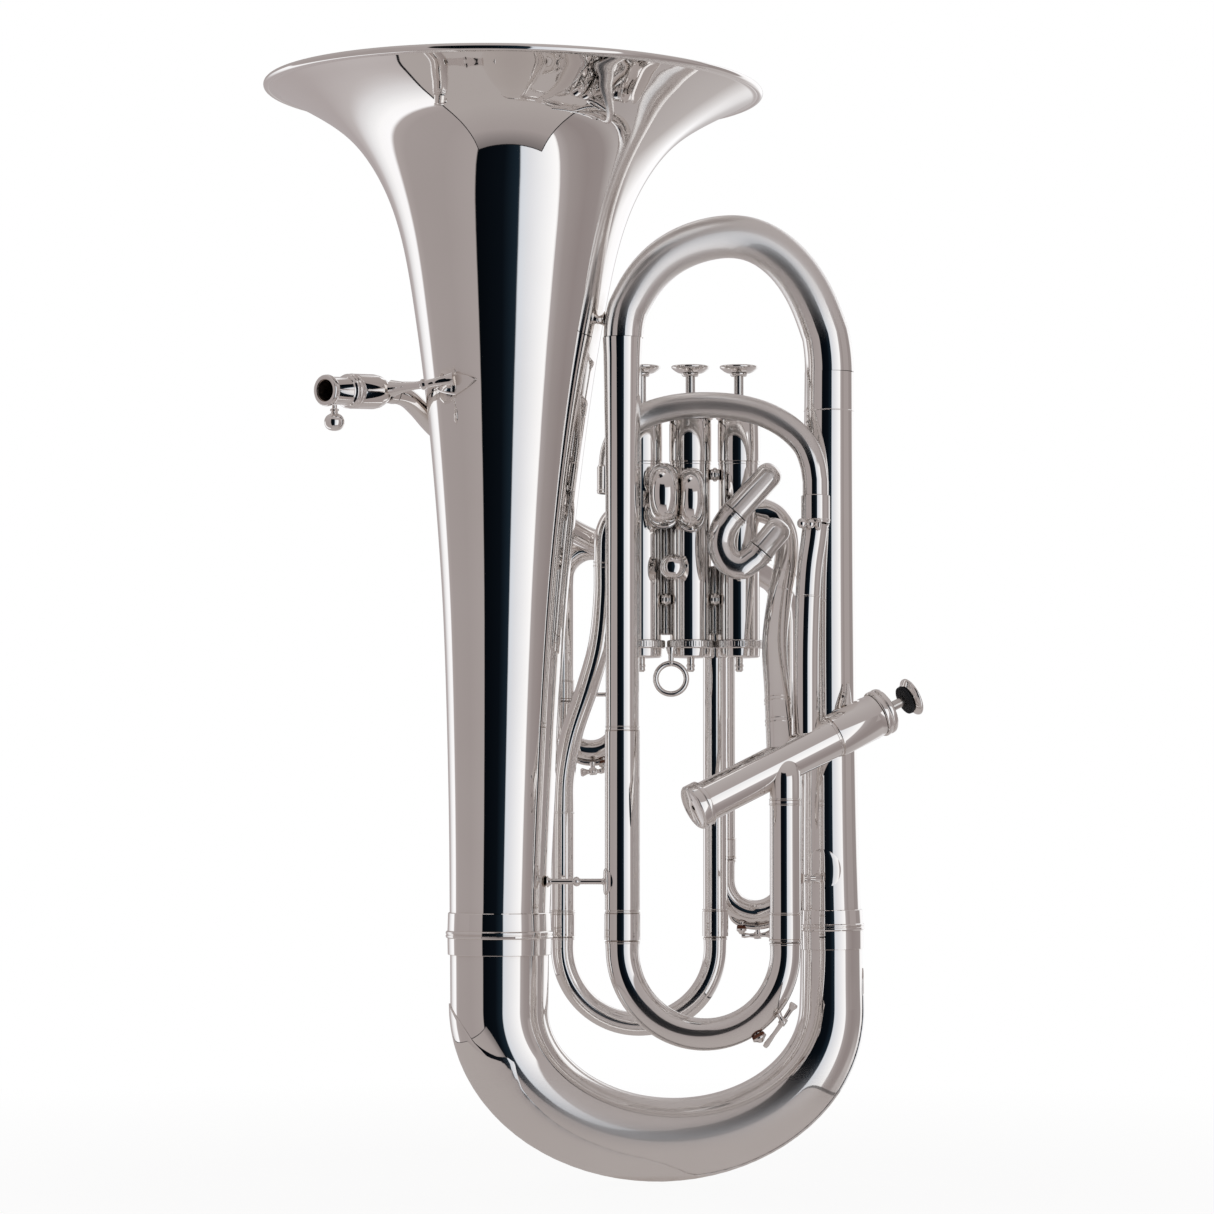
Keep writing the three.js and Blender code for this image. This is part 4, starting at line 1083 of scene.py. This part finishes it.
def stay_foot(x_centre=-80.36, z_centre=477.29, half_x=12.5, half_z=6.2, rows=35, columns=19):
    """pointed plate that follows the front of the bell wall"""
    distances, radii = zip(*bell_outer)
    outer, inner = [], []
    for u in np.linspace(-1, 1, rows):
        height = half_z * (1 - abs(u) ** 1.35) ** 0.9 + 0.12
        for v in np.linspace(-1, 1, columns):
            x = x_centre + half_x * u
            z = z_centre + height * v + 2.2 * u
            below = BELL_RIM[2] - z
            share = below / (BELL_RIM[2] - BELL_FOOT[2])
            bell_x = BELL_RIM[0] + (BELL_FOOT[0] - BELL_RIM[0]) * share
            bell_radius = float(np.interp(below, distances, radii))
            inset = min(1.0, (1 - abs(v)) * height / 0.6, (1 - abs(u)) * half_x / 0.6)
            swell = 0.3 + 0.85 * math.sqrt(max(inset, 0.0))
            for verts, lift in ((outer, swell), (inner, 0.05)):
                r = bell_radius + lift
                sine = max(-0.995, min(0.995, (x - bell_x) / r))
                verts.append((bell_x + r * sine, -r * math.sqrt(1 - sine * sine), z))
    mesh_object("receiver_stay_foot", outer + inner, sheet_faces(rows, columns), sharp=50)


stay_foot()

# ---------------------------------------------------------------- strap ring, stays, flanges
STRAP_X, STRAP_Y, STRAP_Z, STRAP_RADIUS = 49, 8, 302.3, 9.3
tube("strap_ring_loop",
     [vec(STRAP_X + STRAP_RADIUS * cos(t), STRAP_Y, STRAP_Z + STRAP_RADIUS * sin(t))
      for t in np.linspace(pi / 2 + 0.02, pi / 2 + 2 * pi - 0.02, 80)],
     1.75, sides=28, solid=True, replaces="strap_ring")
turned("strap_ring_stem", (STRAP_X, STRAP_Y, STRAP_Z + 8.2), (STRAP_X, STRAP_Y, STRAP_Z + 20),
       [(0, 0), (0.2, 1.7), (1.6, 2.2), (2.6, 1.6), (6, 1.7), (11, 3.4), (12, 0)],
       fillet=0.4, sides=32)
stay("lower_stay", (-25.94, -14, 179.65), (9.52, -19, 179.75),
     radius=1.7, start_pad=3.6, end_pad=7.0)
turned("upper_stay", (-2.68, -16, 518.32), (10, -19, 518.58),
       [(0, 0), (0, 4.6), (1.6, 3.2), (4, 2.3), (6.4, 3.0), (8, 2.3), (10.5, 3.4),
        (12.2, 5.6), (12.6, 0)], fillet=0.4, sides=36, replaces="lower_brace upper_brace")
turned("arch_stay", (139.36, -24, 392.25), (139.93, -13, 392.96),
       [(0, 0), (0.2, 2.6), (1.4, 3.4), (2.8, 2.6), (5, 2.2), (9, 3.6), (10.6, 6), (11, 0)],
       fillet=0.4, sides=32)
turned("arch_stay_arm", (133.27, -25.5, 392.75), (141.16, -24, 391.65),
       [(0, 0), (0, 2.8), (3, 2.2), (6.2, 3.1), (8.2, 0)], fillet=0.4, sides=28)
turned("receiver_leg_stay", (124.49, -46, 182.1), (136.55, -20, 181.58),
       [(0, 0), (0, 3.6), (1.4, 2.0), (9, 1.6), (11, 2.8), (13, 1.6), (22, 1.7), (26.5, 3.2),
        (28, 0)], fillet=0.4, sides=32)
turned("arch_end_stay", (124.06, -36, 394.34), (137.39, -33, 393.7),
       [(0, 0)] + bulge(2.9, 2.9, 0.6, 2.5, 0.25, pi - 0.3, 9)
       + [(5.9, 1.5)] + bulge(8.2, 2.2, 1.5, 1.5, 0.1, pi - 0.1, 7)
       + [(10.6, 1.7)] + bulge(12.6, 1.8, 1.6, 2.6, 0.1, pi, 9) + [(14.4, 0)],
       sides=36, sharp=60)
# upright passages behind the casings, midway between neighbouring valves
for i, passage_top in enumerate((398, 372)):
    xy = (VALVE_X[i] * 0.5 + VALVE_X[i + 1] * 0.5, VALVE_Y + 11.5)
    tube(f"valve_passage{i}", straight(at(xy, 330), at(xy, passage_top), 4), 5.6, solid=True,
         beads=[(0.3, 3.4, 0.5), (24, 25, 0.3), (-3.4, -0.3, 0.5)], mat=SILVER_SATIN)


def flange(name, z_centre, facing, radius, xy, tube_radius, rings=8, sides=48):
    """round foot bent over an upright tube; facing: angle from the front towards +x"""
    verts = []
    for outer in (True, False):
        for i in range(rings + 1):
            rho = radius * max(i / rings, 0.02)
            lift = 0.9 * math.sqrt(max(0.0, 1 - (i / rings) ** 6)) + 0.08 if outer else 0.05
            r = tube_radius + lift
            for j in range(sides):
                t = 2 * pi * j / sides
                turn = rho * cos(t) / tube_radius + facing
                verts.append((xy[0] + r * sin(turn), xy[1] - r * cos(turn),
                              z_centre + rho * sin(t)))
    inner = (rings + 1) * sides
    rim = rings * sides
    faces = []
    for i in range(rings):
        for j in range(sides):
            k = (j + 1) % sides
            a, b = i * sides + j, i * sides + k
            c, d = b + sides, a + sides
            faces += [(a, d, c, b), (inner + a, inner + b, inner + c, inner + d)]
    for j in range(sides):
        k = (j + 1) % sides
        faces.append((rim + j, inner + rim + j, inner + rim + k, rim + k))
        faces.append((j, k, inner + k, inner + j))
    mesh_object(name, verts, faces, sharp=40)


flange("outer_branch_flange", 186.04, facing=-0.5, radius=15.0, xy=(145.35, 0.0),
       tube_radius=17.0)
flange("inner_branch_flange", 179.78, facing=-1.35, radius=8.0, xy=INNER_BRANCH,
       tube_radius=10.6)
# saddle that ties the side valve to the outer branch, and a hook beside it
tube("side_valve_saddle",
     curve([along_valve4(88) + vec(shift) for shift in ((2, 8, 4), (6, 13, 8), (10, 17, 12))]),
     [(0, 5.5), (5, 3.6), (16, 5.0)], sides=32, solid=True)
tube("side_valve_hook",
     curve([(153.8, -24, 283.95), (154.58, -21, 288.83), (155.05, -18, 293.73),
            (154.86, -16.2, 298.6)]),
     [(0, 3.4), (4, 2.6), (9, 1.9), (15, 0.9)], sides=24, solid=True)


# ---------------------------------------------------------------- water keys
def water_key(key, slide, pad, pivot, thumb, seat, seat_radius, cork_replaces=""):
    """sprung lever from the pad over the seat, through the pivot, to the thumb piece"""
    pad, pivot, thumb, seat = vec(pad), vec(pivot), vec(thumb), vec(seat)
    hinge = float(norm(pivot - pad))
    tube(key + "_lever",
         curve([pad, pad * 0.6 + pivot * 0.4, pivot, pivot * 0.55 + thumb * 0.45, thumb], 10),
         [(0, 1.3), (2, 1.7), (hinge * 0.5, 1.2), (hinge - 2.4, 1.4), (hinge - 2.0, 2.2),
          (hinge + 2.0, 2.2), (hinge + 2.4, 1.3), (-4, 1.5), (-1, 2.7), ("end", 2.2)],
         key, sides=28, solid=True, replaces=key)
    lift = unit(pad - seat)
    cork_foot, cup_foot = seat + lift * 1.6, seat + lift * 4.2
    r = seat_radius
    turned(key + "_cork", cork_foot, cup_foot,
           [(0, 0), (0, r * 0.95), (1.2, r * 1.05), (2.6, r), (2.6, 0)], key,
           fillet=0.3, sides=36, mat=CORK, replaces=cork_replaces)
    turned(key + "_cup", cup_foot, cup_foot + lift * 3,
           [(-0.7, 0), (-0.7, r * 1.12), (0.6, r * 1.12), (1.5, r * 0.7), (2.6, 1.5), (3.2, 0)],
           key, fillet=0.3, sides=36)
    turned(key + "_nipple", seat - lift * 2.0, seat + lift * 2,
           [(0, 0), (0, r * 0.9), (1.4, r * 0.62), (2.8, r * 0.62), (3.5, r * 0.72), (3.5, 0)],
           slide, fillet=0.25, sides=32)
    for i, y in enumerate((-3.1, 3.1)):
        post_top = pivot + vec(0, y, 0)
        turned(f"{key}_post{i}", post_top - lift * 4.6, post_top,
               [(-1, 0), (-1, 2.0), (1, 1.4), (3.8, 1.5), (4.6, 2.0), (6.2, 1.6), (6.4, 0)],
               slide, fillet=0.3, sides=20)
    half_pin = vec(0, 4.4, 0)
    tube(key + "_pin", straight(pivot - half_pin, pivot + half_pin), 0.7, slide, sides=16,
         solid=True, side=(1, 0, 0), mat=STEEL)
    coil = [pivot + vec(1.9 * cos(t), -2.2 + 4.4 * t / (8 * pi), 1.9 * sin(t))
            for t in np.linspace(0, 8 * pi, 65)]
    tube(key + "_spring", coil, 0.32, key, sides=8, solid=True, mat=STEEL)


water_key("main_water_key", "main_slide", pad=(103.62, -46, 82.52), pivot=(114.1, -52, 97.75),
          thumb=(120.9, -53, 108.21), seat=(98.4, -45.3, 91.42), seat_radius=3.9,
          cork_replaces="main_water_key_cork")
water_key("third_water_key", "third_slide", pad=(93.36, 60, 144.84), pivot=(103.31, 60, 144.84),
          thumb=(112.02, 60, 145.78), seat=(93.36, 60, 152.62), seat_radius=2.9)
water_key("first_water_key", "first_slide", pad=(8.14, 58, 246.54), pivot=(1.3, 56, 246.22),
          thumb=(-6.14, 55, 245.59), seat=(7.82, 60, 254.33), seat_radius=2.7)

# ---------------------------------------------------------------- softer finishes
# silver pieces whose names start so, and the finish they take
SOFT_FINISHES = (
    ("bottom_bow_tube", SILVER_BOW), ("bow_guard", SILVER_BOW), ("top_bow_tube", SILVER_TOP),
    ("crossover_arch_tube", SILVER_ARCH), ("main_slide", SILVER_CROOK),
    ("fourth_slide", SILVER_CROOK), ("third_compensating_crook", SILVER_SOFT),
    ("third_compensating_bend", SILVER_LEAN))


def repaint(obj, material):
    obj.data.materials.clear()
    obj.data.materials.append(material)


for prefix, finish in SOFT_FINISHES:
    for obj in bpy.data.objects:
        if obj.type == "MESH" and obj.name.startswith(prefix):
            if obj.data.materials and obj.data.materials[0] == SILVER:
                repaint(obj, finish)

# ---------------------------------------------------------------- valve springs
# return springs under the pistons, which shorten as the valve goes down
COIL_RADIUS, COIL_BOTTOM, COIL_HEIGHT = 7.6, 328, 32
for number, x in enumerate(VALVE_X, start=1):
    coil = []
    for t in np.linspace(0, 2 * pi * 6.5, 235):
        climb = min(max((t / (2 * pi) - 0.8) / 4.9, 0), 1)      # flat coils at both ends
        coil.append(vec(x + COIL_RADIUS * cos(t), VALVE_Y + COIL_RADIUS * sin(t),
                        COIL_BOTTOM + COIL_HEIGHT * climb))
    spring = tube(f"valve{number}_spring_wire", coil, 0.65, sides=10, solid=True,
                  replaces=f"valve{number}_spring", mat=STEEL, side=(0, 0, 1))
    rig.squash(spring, f"valve{number}_press", axis=(0, 0, 1),
              anchor=(x / 1000, VALVE_Y / 1000, 0.3273), keep=0.49)

# any CAD valve spring in the scene is steel too
for obj in bpy.data.objects:
    if obj.type == "MESH" and obj.name.startswith("valve") and obj.name.endswith("_spring"):
        repaint(obj, STEEL)

# ---------------------------------------------------------------- studio
scene = bpy.context.scene
scene.view_settings.view_transform = "Standard"
scene.view_settings.look = "None"

# walls seen in the reflections: azimuth in degrees from the camera's side, towards +x; sRGB
WALLS = [
    (-180, (170, 163, 163)), (-158, (168, 160, 160)), (-150, (184, 178, 178)),
    (-145, (212, 210, 212)), (-139, (230, 230, 232)), (-131, (246, 246, 248)),
    (-121.5, (250, 250, 253)), (-118.5, (167, 159, 158)), (-108, (158, 150, 149)),
    (-70, (156, 148, 147)), (-37.6, (162, 154, 153)), (-36.8, (5, 8, 12)), (-8, (9, 14, 20)),
    (8.4, (24, 36, 46)), (10.0, (208, 214, 222)), (20, (219, 221, 226)), (34, (234, 235, 238)),
    (50.2, (250, 250, 251)), (52, (168, 161, 161)), (62, (150, 142, 141)),
    (80, (140, 131, 130)), (110, (146, 138, 137)), (126, (148, 140, 139)),
    (131, (240, 240, 241)), (140, (250, 250, 252)), (166, (250, 250, 252)),
    (172, (190, 186, 186)), (180, (170, 163, 163))]
# elevation in degrees, sRGB
FLOOR_TONES = [(-90, (150, 143, 142)), (-70, (146, 138, 137))]
CEILING_TONES = [(10, (160, 152, 151)), (40, (164, 157, 156)), (90, (176, 170, 169))]
LOW_RIGHT_TONES = [(-60, (158, 151, 150)), (-8, (186, 181, 180))]
# elevation in degrees where the panels end and the ceiling starts
FRONT_LEFT_TOP, FRONT_RIGHT_TOP, BACK_RIGHT_TOP, BACK_LEFT_TOP = 33.0, 21.0, 40.0, 6.0


def studio_world():
    """white to the camera; walls, panels and ceiling to everything else"""
    world = bpy.data.worlds.new("studio")
    scene.world = world
    world.use_nodes = True
    tree = world.node_tree
    tree.nodes.clear()

    def times(first, second):
        return calc(tree, "MULTIPLY", first, second)

    def plus(first, second):
        return calc(tree, "ADD", first, second)

    def rest(value):
        return calc(tree, "SUBTRACT", 1.0, value)

    def edge(value, start, end):
        return remap(tree, value, source=(start, end))

    generated = add(tree, "TexCoord").outputs["Generated"]
    x, y, z = add(tree, "SeparateXYZ", {0: generated}).outputs
    azimuth = calc(tree, "ARCTAN2", x, times(y, -1.0))
    walls = ramp(tree, calc(tree, "MULTIPLY_ADD", azimuth, 1 / (2 * pi), 0.5),
                 [(angle / 360 + 0.5, srgb(*colour)) for angle, colour in WALLS])
    elevation = times(calc(tree, "ARCSINE", z), 180 / pi)

    def by_elevation(tones):
        return ramp(tree, calc(tree, "MULTIPLY_ADD", elevation, 1 / 180, 0.5),
                    [((angle + 90) / 180, srgb(*colour)) for angle, colour in tones])

    ground = by_elevation(FLOOR_TONES)
    ceiling = by_elevation(CEILING_TONES)
    azimuth = times(azimuth, 180 / pi)
    low_right = by_elevation(LOW_RIGHT_TONES)
    colour = mix_colour(tree, edge(elevation, -80, -76), ground, walls)

    front = times(edge(azimuth, -70, -66), rest(edge(azimuth, 66, 70)))
    front_left = times(front, rest(edge(azimuth, 3, 9)))
    front_right = times(front, edge(azimuth, 3, 9))
    back_right = edge(azimuth, 100, 104)
    back_left = rest(edge(azimuth, -104, -100))
    panel_top = plus(plus(times(front_left, FRONT_LEFT_TOP), times(front_right, FRONT_RIGHT_TOP)),
                     plus(times(back_right, BACK_RIGHT_TOP), times(back_left, BACK_LEFT_TOP)))
    above = edge(calc(tree, "SUBTRACT", elevation, panel_top), -1.5, 1.5)
    low = times(edge(azimuth, 96, 108), rest(edge(elevation, -24, -8)))
    colour = mix_colour(tree, low, colour, low_right)
    colour = mix_colour(tree, above, colour, ceiling)

    camera_ray = add(tree, "LightPath").outputs["Is Camera Ray"]
    white = add(tree, "RGB").outputs[0]
    white.default_value = (1, 1, 1, 1)
    room = add(tree, "Background", {0: colour, "Strength": 1.12})
    backdrop = add(tree, "Background", {0: white, "Strength": 1.0})
    both = add(tree, "MixShader", {0: camera_ray, 1: room.outputs[0], 2: backdrop.outputs[0]})
    add(tree, "OutputWorld", {0: both.outputs[0]})


studio_world()

# the floor: half size and height, then the dark-bordered table top that only reflections
# see, all in metres
FLOOR_HALF, FLOOR_Z = 6.0, -0.0012
TABLE_LEFT, TABLE_RIGHT, TABLE_NEAR, TABLE_FAR = -0.352, 0.222, -0.472, 0.602
TABLE_FADE, TABLE_BORDER = 0.002, 0.007
TABLE_TONES = [(0.0, srgb(112, 106, 106)), (0.35, srgb(158, 150, 149)), (1.0, srgb(168, 161, 159))]


def floor_material():
    material = bpy.data.materials.new("floor_paper")
    material.use_nodes = True
    tree = material.node_tree
    tree.nodes.clear()
    position = add(tree, "NewGeometry").outputs["Position"]
    x, y, _ = add(tree, "SeparateXYZ", {0: position}).outputs

    def between(value, low, high):
        return calc(tree, "MULTIPLY", remap(tree, value, source=(low, low + TABLE_FADE)),
                    remap(tree, value, source=(high, high - TABLE_FADE)))

    def on_table(margin):
        return calc(tree, "MULTIPLY", between(x, TABLE_LEFT + margin, TABLE_RIGHT - margin),
                    between(y, TABLE_NEAR + margin, TABLE_FAR - margin))

    # to the camera: white paper, shaded a little close to the horn
    paper = add(tree, "BsdfDiffuse", {0: (1, 1, 1, 1)})
    glow = add(tree, "Emission", {0: (1, 1, 1, 1), 1: 1.0})
    distance = add(tree, "VectorMath", {0: position}, operation="LENGTH").outputs["Value"]
    fade = remap(tree, distance, source=(0.25, 0.9), target=(0.93, 1.0))
    seen = add(tree, "MixShader", {0: fade, 1: paper.outputs[0], 2: glow.outputs[0]})

    # to reflections: the table top, and nothing beyond it
    top = ramp(tree, remap(tree, y, source=(-0.47, -0.05)), TABLE_TONES)
    colour = mix_colour(tree, on_table(TABLE_BORDER), srgb(24, 24, 27), top)
    table = add(tree, "Emission", {0: colour, 1: 1.1})
    clear = add(tree, "BsdfTransparent")
    mirrored = add(tree, "MixShader",
                   {0: on_table(0.0), 1: clear.outputs[0], 2: table.outputs[0]})
    camera_ray = add(tree, "LightPath").outputs["Is Camera Ray"]
    both = add(tree, "MixShader", {0: camera_ray, 1: mirrored.outputs[0], 2: seen.outputs[0]})
    add(tree, "OutputMaterial", {0: both.outputs[0]})
    return material


floor_mesh = bpy.data.meshes.new("floor")
floor_mesh.from_pydata([(x * FLOOR_HALF, y * FLOOR_HALF, FLOOR_Z)
                        for x, y in ((-1, -1), (1, -1), (1, 1), (-1, 1))], [], [(0, 1, 2, 3)])
floor = bpy.data.objects.new("floor", floor_mesh)
scene.collection.objects.link(floor)
floor_mesh.materials.append(floor_material())
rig.stage(floor)

# camera: in front of the horn, tilted slightly up
CAMERA_PLACE = (0.0094, -2.5, 0.2322)
CAMERA_TILT = 0.04582452        # radians above level
lens = bpy.data.cameras.new("camera")
lens.sensor_width = 36.0
lens.lens = 122.26359
lens.clip_end = 50
camera = bpy.data.objects.new("camera", lens)
scene.collection.objects.link(camera)
camera.location = CAMERA_PLACE
camera.rotation_euler = (pi / 2 + CAMERA_TILT, 0, 0)
scene.camera = camera

visual_box = [list(map(float, corner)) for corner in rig.bounds()]
try:
    with open("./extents.json", "w") as size_file:
        json.dump({"cad_box": cad_box, "visual_box": visual_box}, size_file)
except OSError:
    pass
